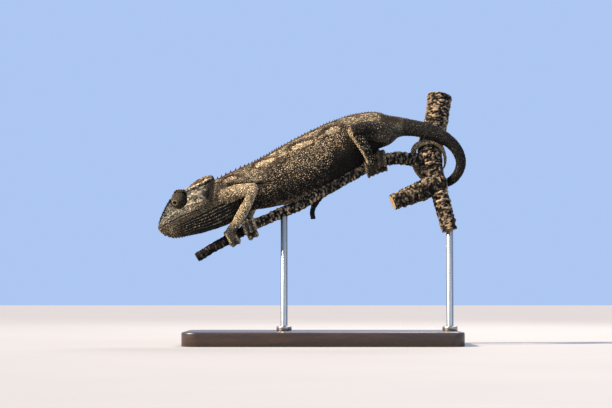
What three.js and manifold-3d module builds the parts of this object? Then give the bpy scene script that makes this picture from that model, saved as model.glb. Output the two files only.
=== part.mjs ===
// Life-size display model of a Malagasy giant chameleon (Furcifer oustaleti, adult female) that grips a cut
// length of tree as its perch, on a small display stand. Millimetres, +Z up. The head is towards -X and the
// animal's left side towards -Y. The origin is the middle of the base's underside.
import * as THREE from "three";
import { mergeVertices } from "three/addons/utils/BufferGeometryUtils.js";
import Module from "manifold-3d";

const wasm = await Module();
wasm.setup();

// Driving dimensions.

const gap = 0.3; // clear space kept between neighbouring pieces

const base = { long: 236, deep: 112, thick: 12, corner: 14, chamfer: 1.6, x: 9 };
const rod = { radius: 3, frontX: -24, sides: 16, collar: 6.5, collarHigh: 4, collarEdge: 1 };

// The perch is a forked twig. Rows are centre x, y, z and radius.
const perchBranch = [
  [-99, 0.6, 75, 4.1],
  [-83.4, 0, 84.3, 4.2],
  [-66.2, 0, 93.7, 4.3],
  [-49, 0, 103.5, 4.4],
  [-31.8, 0, 111, 4.6],
  [-14.6, 0, 118.7, 5.2],
  [2.6, 0, 128.1, 4.9],
  [19.8, 0, 137.2, 4.6],
  [37, 0, 147, 4.6],
  [49.9, 0, 154, 4.8],
  [62.8, 0, 159, 5.2],
  [75.7, 0.5, 160.4, 5.7],
  [88.6, 3, 159.2, 6.1],
  [101, 7, 157, 7],
];
const perchStem = [
  [118, -2.5, 98, 6.8],
  [114.4, -1, 112, 6.9],
  [109, 2, 133, 7.4],
  [104.5, 5.5, 148, 9.2],
  [101.8, 8.5, 163, 10.8],
  [103, 12, 175, 10.2],
  [108, 16.5, 193, 10.2],
  [112, 22, 217, 10.4],
];
const perchFork = [
  [108, 2, 139, 8.4],
  [92.9, -1, 132, 8.6],
  [78, -3.5, 126, 7.4],
  [69, -5, 122, 7],
];
const perchTwig = [
  [9, 0, 130, 2.6],
  [0.5, 0.4, 116, 2.3],
  [0.8, 0.8, 108, 2.1],
];

// Neck and trunk: centre x, z, then half height and half width of the section square to the spine.
const spineRows = {
  throat: [-95, 114.6, 18.4, 9],
  nape: [-79, 121.5, 19.6, 10.5],
  shoulder: [-58.9, 132.6, 18.9, 12],
  chest: [-40, 138.7, 21.4, 13],
  ribs: [-21.9, 145.4, 24.2, 13.8],
  waist: [-4.4, 155, 24.2, 14],
  belly: [12.6, 164, 24, 13.6],
  flank: [28.6, 172.4, 22.8, 12.4],
  loin: [40.8, 179.2, 20.2, 11],
  hip: [51.6, 183.6, 17, 10],
  vent: [62.4, 185, 14.2, 8.4],
};
// Tail: centre x, y, z, then half height and half width.
const tailRows = {
  root: [73.5, -0.8, 187.3, 9, 7.2],
  first: [85.1, -2.6, 186.6, 7.4, 6.7],
  crossing: [99.3, -4.8, 183.4, 6.8, 6.3],
  arch: [111.4, -4.6, 178.7, 6, 5.8],
  shoulder: [120.8, -3.2, 172, 5.4, 5.2],
  bend: [126.2, -1.4, 164.5, 5, 4.9],
  side: [128.3, 0.8, 156.3, 4.6, 4.5],
  turn: [126.6, 3, 149, 4.3, 4.2],
  under: [122.4, 5.6, 143.4, 4.1, 4],
  behind: [116.4, 10, 139.8, 3.8, 3.7],
};
// The rest of the tail winds round the stem: turn in degrees (90 is behind it, 270 in front), distance from
// the stem's axis, height and radius.
const tailCoil = [
  [88, 13.4, 140, 3.5],
  [125, 14.4, 145.5, 3.3],
  [146, 14.8, 153, 3.1],
  [156, 14.4, 161, 2.9],
  [184, 13.7, 168.6, 2.7],
  [226, 13.3, 173.4, 2.5],
  [266, 12.9, 174.8, 2.3],
  [308, 13, 171.4, 2.1],
  [348, 13.2, 163.6, 1.8],
  [372, 13, 156.6, 1.4],
  [394, 12.2, 151.6, 0.8],
];

const crest = { count: 46, from: 0.9, to: 11.6, tall: 2.1, short: 0.8, radius: 1.05, sides: 4, sunk: 0.6 };
const beard = { count: 10, from: 3, to: 34, tall: 1.3, short: 0.7, radius: 0.85, sides: 4, sunk: 0.5 };

// Head frame: s runs back from the snout along the mouth, t up, y to the animal's right.
const head = { snout: [-132, 98.9], pitch: 27, lean: 0.45, long: 52, nose: 2.6 };
// Lines that run along the head, as [ring, value] pairs: t is height over the mouth, y half breadth.
const headLines = {
  crown: {
    t: [[0, 2.9], [2.5, 3.9], [4.8, 5.6], [9.2, 9], [14.2, 13.3], [18.3, 16.5], [23.6, 18.8], [29.5, 19.2],
      [33.1, 20.4], [39.1, 22.5], [43.2, 22.8], [47.6, 22.4], [52, 20.8]],
    y: [[0, 0], [52, 0]],
  },
  ridge: {
    t: [[0, 2.6], [4.7, 5.9], [9.1, 10.1], [14.1, 14.6], [18, 18.2], [23, 21.8], [26.2, 21.7], [30.8, 19.4],
      [36.9, 18.5], [42.9, 18.6], [48.8, 18.8], [52, 18.4]],
    y: [[0, 2.2], [4.7, 3.4], [9.1, 4.7], [14.1, 6.1], [18, 7.4], [23, 8.7], [26.2, 8.9], [30.8, 8.7],
      [36.9, 8.7], [42.9, 7.6], [48.8, 5.4], [52, 3]],
  },
  temple: {
    t: [[0, 1.6], [10, 7.4], [20, 12], [27, 14], [36, 13.4], [44, 12.6], [52, 12]],
    y: [[0, 3], [10, 6], [20, 8.7], [27, 10], [36, 11.6], [44, 11.6], [52, 9.4]],
  },
  cheekbone: {
    t: [[0, 0.9], [10, 4.4], [21, 7], [31, 7.4], [41, 5.4], [52, 4]],
    y: [[0, 3.3], [10, 7.1], [21, 10.6], [31, 12.5], [41, 13.5], [52, 12]],
  },
  lip: {
    t: [[0, 0], [10, 0.3], [22, 0.4], [32, -0.4], [42, -2.2], [52, -5]],
    y: [[0, 3.4], [5, 5.6], [10, 7.3], [22, 10.7], [32, 12.5], [42, 13.4], [52, 12.2]],
  },
  jawEdge: {
    t: [[0, -1.8], [5, -4.6], [10, -6.2], [22, -8], [32, -9.4], [42, -11], [52, -13]],
    y: [[0, 3], [5, 5], [10, 6.9], [22, 10.1], [32, 11.9], [42, 12.8], [52, 12]],
  },
  pouch: {
    t: [[0, -3], [5, -7.6], [10, -10.8], [22, -14], [34, -16.6], [44, -18], [52, -19]],
    y: [[0, 1.8], [5, 3.2], [10, 4.6], [22, 6.8], [34, 8.4], [44, 9], [52, 9]],
  },
  throat: {
    t: [[0, -4.2], [2.9, -6.8], [5.8, -9.4], [8.8, -11.8], [15.3, -14.4], [22.3, -16.2], [30.8, -18],
      [41.9, -20.2], [52, -21.4]],
    y: [[0, 0], [52, 0]],
  },
};
const jawRear = 50;

// Eye: the ball's centre in the head frame (s, y, t), the lid turret round it, and where it looks.
const eye = { s: 27.6, y: 7.6, t: 14.1, radius: 6.6, behind: 2.2, forward: 0.56, down: 0.14 };
const opening = { radius: 1.55, rim: 0.35, deep: 1.1, wide: 3.1, pupil: 1.25, bulge: 0.45 };

// Limbs: rows are x, y, z and radius, from the body outwards. Feet stand across the branch at x.
const limbs = {
  arm_left: {
    upper: [[-75, -8, 127, 6.6], [-66, -14, 130, 6.4], [-57, -18.5, 132.4, 5.4], [-50.2, -21.2, 133.6, 4.5]],
    lower: [[-49.4, -21.2, 132.6, 4], [-54.4, -18.4, 121.5, 4.2], [-59.6, -14.6, 111.8, 4.7],
      [-64.2, -11, 104.4, 4.5]],
    names: ["upper_arm_left", "forearm_left"],
    look: "arm",
    foot: { name: "hand_left", x: -68.4, side: -1, outer: 2, inner: 3, toe: 2.5, hang: 0.2, lean: 0 },
  },
  arm_right: {
    upper: [[-75, 8, 127, 6.6], [-66, 14, 130, 6.4], [-56, 18, 132.6, 5.4], [-47, 20.6, 133.6, 4.5]],
    lower: [[-46.4, 20.6, 132.6, 4], [-49.6, 17.6, 125, 4.2], [-52.6, 14, 118.4, 4.6],
      [-54.6, 10.4, 112.6, 4.4]],
    names: ["upper_arm_right", "forearm_right"],
    look: "arm",
    foot: { name: "hand_right", x: -52.4, side: 1, outer: 2, inner: 3, toe: 2.5, hang: 2, lean: -2.4 },
  },
  leg_left: {
    upper: [[60, -6, 182.6, 9.2], [52, -12, 183.4, 8.6], [43, -17, 183, 7.2], [36.4, -19.4, 182, 6.2]],
    lower: [[37, -19.4, 180.6, 5.4], [42.6, -17.6, 171.6, 5], [47.6, -14.4, 163, 4.3],
      [50.4, -11.2, 157.4, 4.1]],
    names: ["thigh_left", "shank_left"],
    look: "leg",
    foot: { name: "foot_left", x: 51.2, side: -1, outer: 3, inner: 2, toe: 2.1, hang: 2, lean: -2.6 },
  },
  leg_right: {
    upper: [[60, 6, 182.6, 9.2], [53, 12, 183, 8.6], [45, 17, 182, 7.2], [39, 19.4, 180, 6.2]],
    lower: [[39.6, 19.4, 178.6, 5.2], [46, 17.6, 172.4, 4.8], [53.4, 14.4, 167.6, 4.3],
      [58.4, 11, 164.4, 4.1]],
    names: ["thigh_right", "shank_right"],
    look: "leg",
    foot: { name: "foot_right", x: 61.2, side: 1, outer: 3, inner: 2, toe: 2.1, hang: 2, lean: -3.4 },
  },
};
// Toe arcs round the branch, in degrees from its top towards the bundle's own side, and the claws beyond.
// A foot's hang is how far the ends of its outer toes stand clear of the bark, its lean how far along the
// branch they reach.
const toeArc = { outer: [40, 158], inner: [10, 116], steps: 5, apart: 1.85, fan: 0.2 };
const toeShare = { 2: 1, 3: 0.82 }; // toes are slimmer in a bundle of three
const claw = { long: 3.4, radius: 0.85, tip: 0.3, clear: 0.45, sides: 5 };

const vec = (x, y, z) => new THREE.Vector3(x, y, z);
const radians = THREE.MathUtils.degToRad;

// A smooth curve through [place, value] pairs, held level beyond its ends.
function through(pairs) {
  const last = pairs.length - 1;
  const slope = (i) => {
    const [a, b] = [pairs[Math.max(i - 1, 0)], pairs[Math.min(i + 1, last)]];
    return (b[1] - a[1]) / (b[0] - a[0]);
  };
  return (x) => {
    if (x <= pairs[0][0]) return pairs[0][1];
    if (x >= pairs[last][0]) return pairs[last][1];
    const i = pairs.findIndex((pair) => pair[0] > x) - 1;
    const [[x0, v0], [x1, v1]] = [pairs[i], pairs[i + 1]];
    const span = x1 - x0;
    const w = (x - x0) / span;
    const rise = w * w * (3 - 2 * w);
    const lift = span * w * (1 - w) * (slope(i) * (1 - w) - slope(i + 1) * w);
    return v0 + (v1 - v0) * rise + lift;
  };
}

// A geometry as a solid, with its faces turned to point outwards.
function solidOf(geometry) {
  const bare = new THREE.BufferGeometry();
  bare.setAttribute("position", geometry.getAttribute("position"));
  bare.setIndex(geometry.index);
  const merged = mergeVertices(bare, 1e-4);
  const vertProperties = new Float32Array(merged.attributes.position.array);
  const made = (triVerts) => new wasm.Manifold(new wasm.Mesh({ numProp: 3, vertProperties, triVerts }));
  const triangles = new Uint32Array(merged.index.array);
  const solid = made(triangles);
  return solid.volume() > 0 ? solid : made(triangles.reverse());
}

// A solid as a geometry with flat faces.
function geometryOf(solid) {
  const { numProp, vertProperties, triVerts } = solid.getMesh();
  const positions = new Float32Array(triVerts.length * 3);
  triVerts.forEach((vertex, i) => {
    const start = vertex * numProp;
    positions.set(vertProperties.subarray(start, start + 3), i * 3);
  });
  const geometry = new THREE.BufferGeometry();
  geometry.setAttribute("position", new THREE.BufferAttribute(positions, 3));
  geometry.computeVertexNormals();
  return geometry;
}

// A closed skin over a row of rings of as many points each, with a fan over each end.
function loft(rings) {
  const sides = rings[0].length;
  const points = rings.flat();
  const index = [];
  for (let i = 0; i + 1 < rings.length; i++)
    for (let k = 0; k < sides; k++) {
      const [a, b] = [i * sides + k, i * sides + ((k + 1) % sides)];
      index.push(a, b, a + sides, b, b + sides, a + sides);
    }
  const close = (ring, first, turned) => {
    const middle = ring.reduce((sum, p) => sum.add(p), vec(0, 0, 0)).divideScalar(sides);
    points.push(middle);
    for (let k = 0; k < sides; k++) {
      const [a, b] = [first + k, first + ((k + 1) % sides)];
      index.push(points.length - 1, turned ? a : b, turned ? b : a);
    }
  };
  close(rings[0], 0, false);
  close(rings.at(-1), sides * (rings.length - 1), true);
  const geometry = new THREE.BufferGeometry();
  geometry.setFromPoints(points);
  geometry.setIndex(index);
  return solidOf(geometry);
}

// A limb, tail or twig: rows are x, y, z, half height and half width (the same where only one is given).
// Between rows the curve and sizes run smoothly, and round ends bulge by their own radius.
function tube(rows, { sides = 10, between = 2, from = 0, to = rows.length - 1, round = [true, true],
  keel = () => 1, drop = () => 0, extra = 0 } = {}) {
  const curve = new THREE.CatmullRomCurve3(rows.map(([x, y, z]) => vec(x, y, z)), false, "centripetal");
  const high = through(rows.map((row, i) => [i, row[3]]));
  const wide = through(rows.map((row, i) => [i, row[4] ?? row[3]]));
  const at = (u) => curve.getPoint(u / (rows.length - 1));
  const along = (u) => curve.getTangent(THREE.MathUtils.clamp(u / (rows.length - 1), 0.0001, 0.9999));
  const stops = [from];
  const first = Math.floor(from * between + 1) / between;
  for (let u = first; u < to - 0.2 / between; u += 1 / between) stops.push(u);
  stops.push(to);
  let side = vec(0, 1, 0);
  const frames = stops.map((u) => {
    const tangent = along(u);
    side = side.clone().addScaledVector(tangent, -side.dot(tangent)).normalize();
    return { u, centre: at(u), tangent, side, up: tangent.clone().cross(side) };
  });
  const ring = ({ u, centre, tangent, side: across, up }, scale, shift) =>
    Array.from({ length: sides }, (_, k) => {
      const angle = (k / sides) * 2 * Math.PI;
      const [c, s] = [Math.cos(angle), Math.sin(angle)];
      const breadth = Math.sign(s) * Math.abs(s) ** keel(u) * (1 - drop(u) * c);
      return centre.clone()
        .addScaledVector(tangent, shift)
        .addScaledVector(up, c * (high(u) + extra) * scale)
        .addScaledVector(across, breadth * (wide(u) + extra) * scale);
    });
  const rings = frames.map((frame) => ring(frame, 1, 0));
  const cap = (frame, way, isRound) => {
    if (!isRound) return [ring(frame, 1, way * extra)];
    const reach = (high(frame.u) + wide(frame.u)) / 2 + extra;
    return [38, 72].map((lean) =>
      ring(frame, Math.cos(radians(lean)), way * reach * Math.sin(radians(lean))));
  };
  if (round[0] || extra) rings.unshift(...cap(frames[0], -1, round[0]).reverse());
  if (round[1] || extra) rings.push(...cap(frames.at(-1), 1, round[1]));
  return loft(rings);
}

// A small pointed scale whose foot is sunk into what it grows from.
function spike(foot, direction, height, { radius, sides, sunk }, extra = 0) {
  const cone = new THREE.ConeGeometry(radius + extra, height + sunk + 2 * extra, sides);
  cone.translate(0, (height + sunk) / 2 - sunk, 0);
  const turn = new THREE.Quaternion().setFromUnitVectors(vec(0, 1, 0), direction.clone().normalize());
  cone.applyMatrix4(new THREE.Matrix4().compose(foot, turn, vec(1, 1, 1)));
  return solidOf(cone);
}

// Perch and stand.

const branchCurve = new THREE.CatmullRomCurve3(
  perchBranch.map(([x, y, z]) => vec(x, y, z)), false, "centripetal");
const branchRadius = through(perchBranch.map((row, i) => [i, row[3]]));

// The branch's centre, direction and radius at a given x.
function branchAt(x) {
  let [low, high] = [0, 1];
  for (let i = 0; i < 30; i++) {
    const middle = (low + high) / 2;
    if (branchCurve.getPoint(middle).x < x) low = middle;
    else high = middle;
  }
  return {
    centre: branchCurve.getPoint(low),
    along: branchCurve.getTangent(low),
    radius: branchRadius(low * (perchBranch.length - 1)),
  };
}

// The stem's axis at a given height.
function stemAt(z) {
  const axis = (column) => through(perchStem.map((row) => [row[2], row[column]]))(z);
  return { x: axis(0), y: axis(1) };
}

// The forked twig, cut square at its ends.
function perch(extra) {
  const cut = { round: [false, false], sides: 12, extra };
  return tube(perchStem, cut)
    .add(tube(perchBranch, { ...cut, between: 1.5, round: [false, true] }))
    .add(tube(perchFork, { ...cut, round: [true, false] }))
    .add(tube(perchTwig, { ...cut, sides: 8, round: [true, false] }));
}

// A flat board with round corners and a chamfer all round, its underside at z = 0.
function standBase() {
  const { long, deep, thick, corner, chamfer, x } = base;
  const [halfLong, halfDeep] = [long / 2 - chamfer, deep / 2 - chamfer];
  const outline = new THREE.Shape();
  outline.moveTo(-halfLong + corner, -halfDeep);
  outline.absarc(halfLong - corner, -halfDeep + corner, corner, -Math.PI / 2, 0);
  outline.absarc(halfLong - corner, halfDeep - corner, corner, 0, Math.PI / 2);
  outline.absarc(-halfLong + corner, halfDeep - corner, corner, Math.PI / 2, Math.PI);
  outline.absarc(-halfLong + corner, -halfDeep + corner, corner, Math.PI, 1.5 * Math.PI);
  const bevel = { bevelThickness: chamfer, bevelSize: chamfer, bevelSegments: 1 };
  const slab = new THREE.ExtrudeGeometry(outline, { ...bevel, depth: thick - 2 * chamfer, curveSegments: 6 });
  slab.translate(x, 0, chamfer);
  return solidOf(slab);
}

// A rod from the base up to the perch, with a low collar at its foot.
function standRod(x, y, top) {
  const foot = base.thick + gap;
  const shoulder = foot + rod.collarHigh;
  return (extra) => {
    const [bar, collar] = [rod.radius + extra, rod.collar + extra];
    const profile = [
      [0, foot], [collar, foot], [collar, shoulder - rod.collarEdge], [collar - rod.collarEdge, shoulder],
      [bar, shoulder], [bar, top], [0, top],
    ];
    const turned = new THREE.LatheGeometry(profile.map(([r, z]) => new THREE.Vector2(r, z)), rod.sides);
    turned.rotateX(Math.PI / 2);
    turned.translate(x, y, 0);
    return solidOf(turned);
  };
}

// Trunk and tail.

const trunkRows = Object.values(spineRows).map(([x, z, high, wide]) => [x, 0, z, high, wide]);
const coilRows = tailCoil.map(([turn, distance, z, radius]) => {
  const { x, y } = stemAt(z);
  const angle = radians(turn);
  return [x + distance * Math.cos(angle), y + distance * Math.sin(angle), z, radius];
});
const bodyRows = [...trunkRows, ...Object.values(tailRows), ...coilRows];
// Where the body is parted, counted in rows from the throat.
const parting = { neck: 1.9, tail: [10.1, 12.9, 15.4, 18.1, 22.6, 31] };

// The back is keeled and the belly fuller; the tail is nearly round.
const bodyShape = {
  keel: through([[0, 1], [1.5, 1.05], [4, 1.22], [8, 1.2], [11, 1.05], [14, 1]]),
  drop: through([[0, -0.05], [2, 0.05], [4, 0.12], [8, 0.06], [11, 0], [31, 0]]),
};

// The crest of pointed scales along the back, between two places on the spine.
function withCrest(solid, from, to, extra) {
  const curve = new THREE.CatmullRomCurve3(bodyRows.map(([x, y, z]) => vec(x, y, z)), false, "centripetal");
  const high = through(bodyRows.map((row, i) => [i, row[3]]));
  let crested = solid;
  for (let i = 0; i < crest.count; i++) {
    const share = i / (crest.count - 1);
    const u = THREE.MathUtils.lerp(crest.from, crest.to, share);
    if (u < from || u > to) continue;
    const place = u / (bodyRows.length - 1);
    const back = curve.getTangent(place);
    const up = back.clone().cross(vec(0, 1, 0)).normalize();
    const foot = curve.getPoint(place).addScaledVector(up, high(u) + extra);
    const height = THREE.MathUtils.lerp(crest.tall, crest.short, share);
    crested = crested.add(spike(foot, up.addScaledVector(back, 0.35), height, crest, extra));
  }
  return crested;
}

// One length of neck, trunk or tail, between two places on the spine.
function bodyLength(from, to, { sides, between = 2, crested = false, tip = false }) {
  return (extra) => {
    const solid = tube(bodyRows, { ...bodyShape, sides, between, from, to, round: [false, tip], extra });
    return crested ? withCrest(solid, from + 0.1, to - 0.1, extra) : solid;
  };
}

// Head.

const tilt = radians(head.pitch);
const headFrame = new THREE.Matrix4()
  .makeBasis(vec(Math.cos(tilt), 0, Math.sin(tilt)), vec(0, 1, 0), vec(-Math.sin(tilt), 0, Math.cos(tilt)))
  .setPosition(head.snout[0], 0, head.snout[1]);
const inHead = (s, y, t) => vec(s, y, t).applyMatrix4(headFrame);
const lines = Object.fromEntries(
  Object.entries(headLines).map(([name, { t, y }]) => [name, { t: through(t), y: through(y) }]));

// How far the snout has rounded out at a ring: 0 at its tip, 1 once it has its full size.
function noseShare(ring) {
  const short = 1 - Math.min(ring / head.nose, 1);
  return Math.sqrt(1 - short * short);
}

// One ring of the head: the named lines on both sides, closed over the middle by two more points.
function headRing(ring, names, mouth, extra, shift = 0, share = noseShare(ring)) {
  const half = names.map((name) => [lines[name].y(ring) * share, lines[name].t(ring) * share]);
  const [inner] = half.slice(-1);
  half.push([inner[0] * 0.45, inner[1] + mouth]);
  const loop = [...half, ...half.slice(1).reverse().map(([y, t]) => [-y, t])];
  const middle = loop.reduce((sum, [, t]) => sum + t, 0) / loop.length;
  return loop.map(([y, t]) => {
    const [away, over] = [Math.hypot(y, t - middle) || 1, t - middle];
    const [wideY, highT] = [y + (extra * y) / away, t + (extra * over) / away];
    return inHead(ring + (head.lean * ring * highT) / head.long + shift, wideY, highT);
  });
}

// Skull and upper jaw, with the round back of the casque.
function headSolid(extra) {
  const names = ["crown", "ridge", "temple", "cheekbone", "lip"];
  const stops = [0.12, 0.6, 1.5, 3, 5.5, 9, 13, 17, 20.5, 23.5, 26.5, 30, 34, 38, 42, 45.5, 48.5, 51, 52];
  const rings = stops.map((ring) => headRing(ring, names, 0.2, extra));
  rings.push(headRing(head.long, names, 0.2, extra, 1.4 + extra, 0.93));
  rings.push(headRing(head.long, names, 0.2, extra, 2.4 + extra, 0.78));
  return loft(rings);
}

// Lower jaw and throat pouch, with the row of pointed scales under the chin.
function jawSolid(extra) {
  const names = ["throat", "pouch", "jawEdge", "lip"];
  const stops = [0.12, 0.6, 1.5, 3, 5.5, 9, 13, 18, 23, 28, 33, 38, 42, 46, jawRear];
  const rings = stops.map((ring) => headRing(ring, names, -0.6, extra));
  if (extra) rings.push(headRing(jawRear, names, -0.6, extra, extra));
  let jaw = loft(rings);
  for (let i = 0; i < beard.count; i++) {
    const share = i / (beard.count - 1);
    const ring = THREE.MathUtils.lerp(beard.from, beard.to, share);
    const t = lines.throat.t(ring);
    const foot = inHead(ring + (head.lean * ring * t) / head.long, 0, t - extra);
    const down = inHead(0, 0, -1).sub(inHead(0.3, 0, 0));
    jaw = jaw.add(spike(foot, down, THREE.MathUtils.lerp(beard.tall, beard.short, share), beard, extra));
  }
  return jaw;
}

// The eye's centre and the way it looks, for the left (-1) or right (1) side.
function eyeAim(side) {
  const centre = inHead(eye.s, side * eye.y, eye.t);
  const sideways = Math.sqrt(1 - eye.forward ** 2 - eye.down ** 2);
  const gaze = inHead(-eye.forward, side * sideways, -eye.down).sub(inHead(0, 0, 0));
  return { centre, gaze };
}

// A lathe profile of [radius, distance along the gaze] turned about the eye's own axis.
function aboutGaze(side, profile, sides) {
  const { centre, gaze } = eyeAim(side);
  const turned = new THREE.LatheGeometry(profile.map(([r, a]) => new THREE.Vector2(r, a)), sides);
  const turn = new THREE.Quaternion().setFromUnitVectors(vec(0, 1, 0), gaze.normalize());
  turned.applyMatrix4(new THREE.Matrix4().compose(centre, turn, vec(1, 1, 1)));
  return solidOf(turned);
}

// The fused lids: a dome drawn out to a low cone, with the small round opening at its tip.
function eyeTurret(side) {
  return (extra) => {
    const round = [-18, 0, 16, 32, 46].map((angle) => [
      (eye.radius + extra) * Math.cos(radians(angle)), (eye.radius + extra) * Math.sin(radians(angle))]);
    const top = eye.radius + opening.rim + extra;
    const floor = extra ? top : eye.radius + opening.rim - opening.deep;
    const profile = [
      [0, -eye.behind - extra], ...round, [opening.wide + extra, eye.radius * 0.93 + extra],
      [opening.radius + 0.5, top], [opening.radius, top - 0.2], [opening.radius, floor], [0, floor],
    ];
    return aboutGaze(side, extra ? [...profile.slice(0, -3), [0, floor]] : profile, 16);
  };
}

// The bead of eyeball that shows in the opening.
function pupil(side) {
  return () => {
    const middle = eye.radius + opening.rim - opening.deep + gap + opening.bulge;
    const bead = [-90, -45, 0, 45, 90].map((angle) => [
      opening.pupil * Math.cos(radians(angle)), middle + opening.bulge * Math.sin(radians(angle))]);
    return aboutGaze(side, bead, 10);
  };
}

// Limbs.

// The toes of a foot: which side of the branch each goes round, its radius, its place along the branch.
function toesOf(foot) {
  return [["outer", 1], ["inner", -1]].flatMap(([bundle, way]) =>
    Array.from({ length: foot[bundle] }, (_, k) => {
      const radius = foot.toe * toeShare[foot[bundle]];
      const offset = (k - (foot[bundle] - 1) / 2) * radius * toeArc.apart;
      return { foot, bundle, k, way: way * foot.side, radius, offset };
    }));
}

// A place on or beyond a toe's arc (share 0 at its root, 1 at its end), lifted off the branch.
function alongToe({ foot, bundle, way, radius, offset }, share, lift = 0) {
  const branch = branchAt(foot.x);
  const up = branch.along.clone().cross(vec(0, 1, 0)).normalize();
  const angle = radians(THREE.MathUtils.lerp(...toeArc[bundle], share));
  const hang = bundle === "outer" ? foot.hang : 0.4;
  const reach = branch.radius + gap + radius + hang * share ** 3 + lift;
  const shift = offset * (1 + toeArc.fan * share) + (foot.lean * (1 - Math.cos(angle))) / 2;
  return branch.centre.clone()
    .addScaledVector(branch.along, shift)
    .addScaledVector(up, reach * Math.cos(angle))
    .addScaledVector(vec(0, way, 0), reach * Math.sin(angle));
}

// Palm and both bundles of toes, as one mitten that closes round the branch.
function footSolid({ lower, foot }) {
  const [x, y, z, wrist] = lower.at(-1);
  const knuckle = { foot, bundle: "outer", way: foot.side, radius: foot.toe, offset: 0 };
  const sole = alongToe(knuckle, 0);
  const middle = vec(x, y, z).lerp(sole, 0.55).toArray();
  const palm = [[x, y, z, wrist * 0.92], [...middle, wrist * 0.95], [...sole.toArray(), foot.toe * 1.4]];
  return (extra) => toesOf(foot).reduce((mitten, toe) => {
    const path = Array.from({ length: toeArc.steps }, (_, i) =>
      [...alongToe(toe, i / (toeArc.steps - 1)).toArray(), toe.radius]);
    return mitten.add(tube(path, { sides: 6, between: 1, extra }));
  }, tube(palm, { sides: 8, between: 1, extra }));
}

// The claws go on round the branch from the ends of the toes, and thin to a point.
function clawPieces({ foot }) {
  return toesOf(foot).map((toe) => {
    const [from, to] = toeArc[toe.bundle];
    const turned = radians(to - from) * (branchAt(foot.x).radius + toe.radius + foot.hang);
    const start = 1 + (toe.radius * 0.9 + claw.clear) / turned;
    const rows = [0, 0.5, 1].map((share) => {
      const place = alongToe(toe, start + (share * claw.long) / turned, 0.4 - share * 2.2);
      return [...place.toArray(), THREE.MathUtils.lerp(claw.radius, claw.tip, share ** 1.5)];
    });
    return {
      name: `claw_${foot.name}_${toe.bundle}_${toe.k + 1}`,
      make: (extra) => tube(rows, { sides: claw.sides, between: 1, extra }),
      look: "claw",
    };
  });
}

// Assembly.

const looks = {
  crown: { color: 0x8a7c62, roughness: 0.85, metalness: 0 },
  throat: { color: 0x39342d, roughness: 0.85, metalness: 0 },
  flank: { color: 0x6a5c49, roughness: 0.85, metalness: 0 },
  arm: { color: 0xa28763, roughness: 0.85, metalness: 0 },
  leg: { color: 0x453a30, roughness: 0.85, metalness: 0 },
  tail: { color: 0x342e28, roughness: 0.85, metalness: 0 },
  lid: { color: 0x59503e, roughness: 0.8, metalness: 0 },
  eyeball: { color: 0x14100c, roughness: 0.1, metalness: 0 },
  claw: { color: 0x4a3826, roughness: 0.5, metalness: 0 },
  bark: { color: 0x6b5a48, roughness: 0.95, metalness: 0 },
  board: { color: 0x33251c, roughness: 0.4, metalness: 0 },
  steel: { color: 0x8f8f8c, roughness: 0.35, metalness: 1 },
};

const stemFoot = perchStem[0];
const rodFrontTop = branchAt(rod.frontX).centre.z;
const limbPieces = Object.values(limbs).flatMap((limb) => {
  const round = { sides: 10, between: 1 };
  const [upperName, lowerName] = limb.names;
  const look = limb.look;
  return [
    { name: upperName, make: (extra) => tube(limb.upper, { ...round, extra }), look },
    { name: lowerName, make: (extra) => tube(limb.lower, { ...round, extra }), look },
    { name: limb.foot.name, make: footSolid(limb), look },
    ...clawPieces(limb),
  ];
});
const tailNames = ["tail_base", "tail_arch", "tail_bend", "tail_turn", "tail_coil"];
const bodySides = 18;

// Earlier pieces keep their shape; each later one gives way to them by the gap.
const pieces = [
  { name: "stand_base", make: standBase, look: "board" },
  { name: "perch", make: perch, look: "bark" },
  { name: "stand_rod_front", make: standRod(rod.frontX, 0, rodFrontTop), look: "steel" },
  { name: "stand_rod_rear", make: standRod(stemFoot[0], stemFoot[1], stemFoot[2] + 4), look: "steel" },
  { name: "pupil_left", make: pupil(-1), look: "eyeball" },
  { name: "pupil_right", make: pupil(1), look: "eyeball" },
  { name: "eye_left", make: eyeTurret(-1), look: "lid" },
  { name: "eye_right", make: eyeTurret(1), look: "lid" },
  { name: "head", make: headSolid, look: "crown" },
  { name: "lower_jaw", make: jawSolid, look: "throat" },
  {
    name: "trunk",
    make: bodyLength(parting.neck, parting.tail[0], { sides: bodySides, crested: true }),
    look: "flank",
  },
  { name: "neck", make: bodyLength(0, parting.neck, { sides: bodySides, crested: true }), look: "flank" },
  ...tailNames.map((name, i) => ({
    name,
    make: bodyLength(parting.tail[i], parting.tail[i + 1], {
      sides: i ? 10 : 14, crested: i === 0, tip: i === tailNames.length - 1,
    }),
    look: "tail",
  })),
  ...limbPieces,
];

const model = new THREE.Group();
const placed = [];
for (const { name, make, look } of pieces) {
  const solid = placed.reduce((rest, grown) => rest.subtract(grown), make(0));
  const bodies = solid.decompose().sort((a, b) => b.volume() - a.volume());
  placed.push(make(gap));
  const mesh = new THREE.Mesh(geometryOf(bodies[0]), new THREE.MeshStandardMaterial(looks[look]));
  mesh.name = name;
  model.add(mesh);
}

export default model;
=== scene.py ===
# Display model of a Malagasy giant chameleon on a cut twig and a small stand, life size.
# Sizes in the dictionaries are millimetres; makeMesh turns them to metres.
import itertools
import math
from functools import partial

import bpy
import numpy as np
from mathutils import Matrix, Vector
from mathutils.bvhtree import BVHTree
from mathutils.kdtree import KDTree


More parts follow.
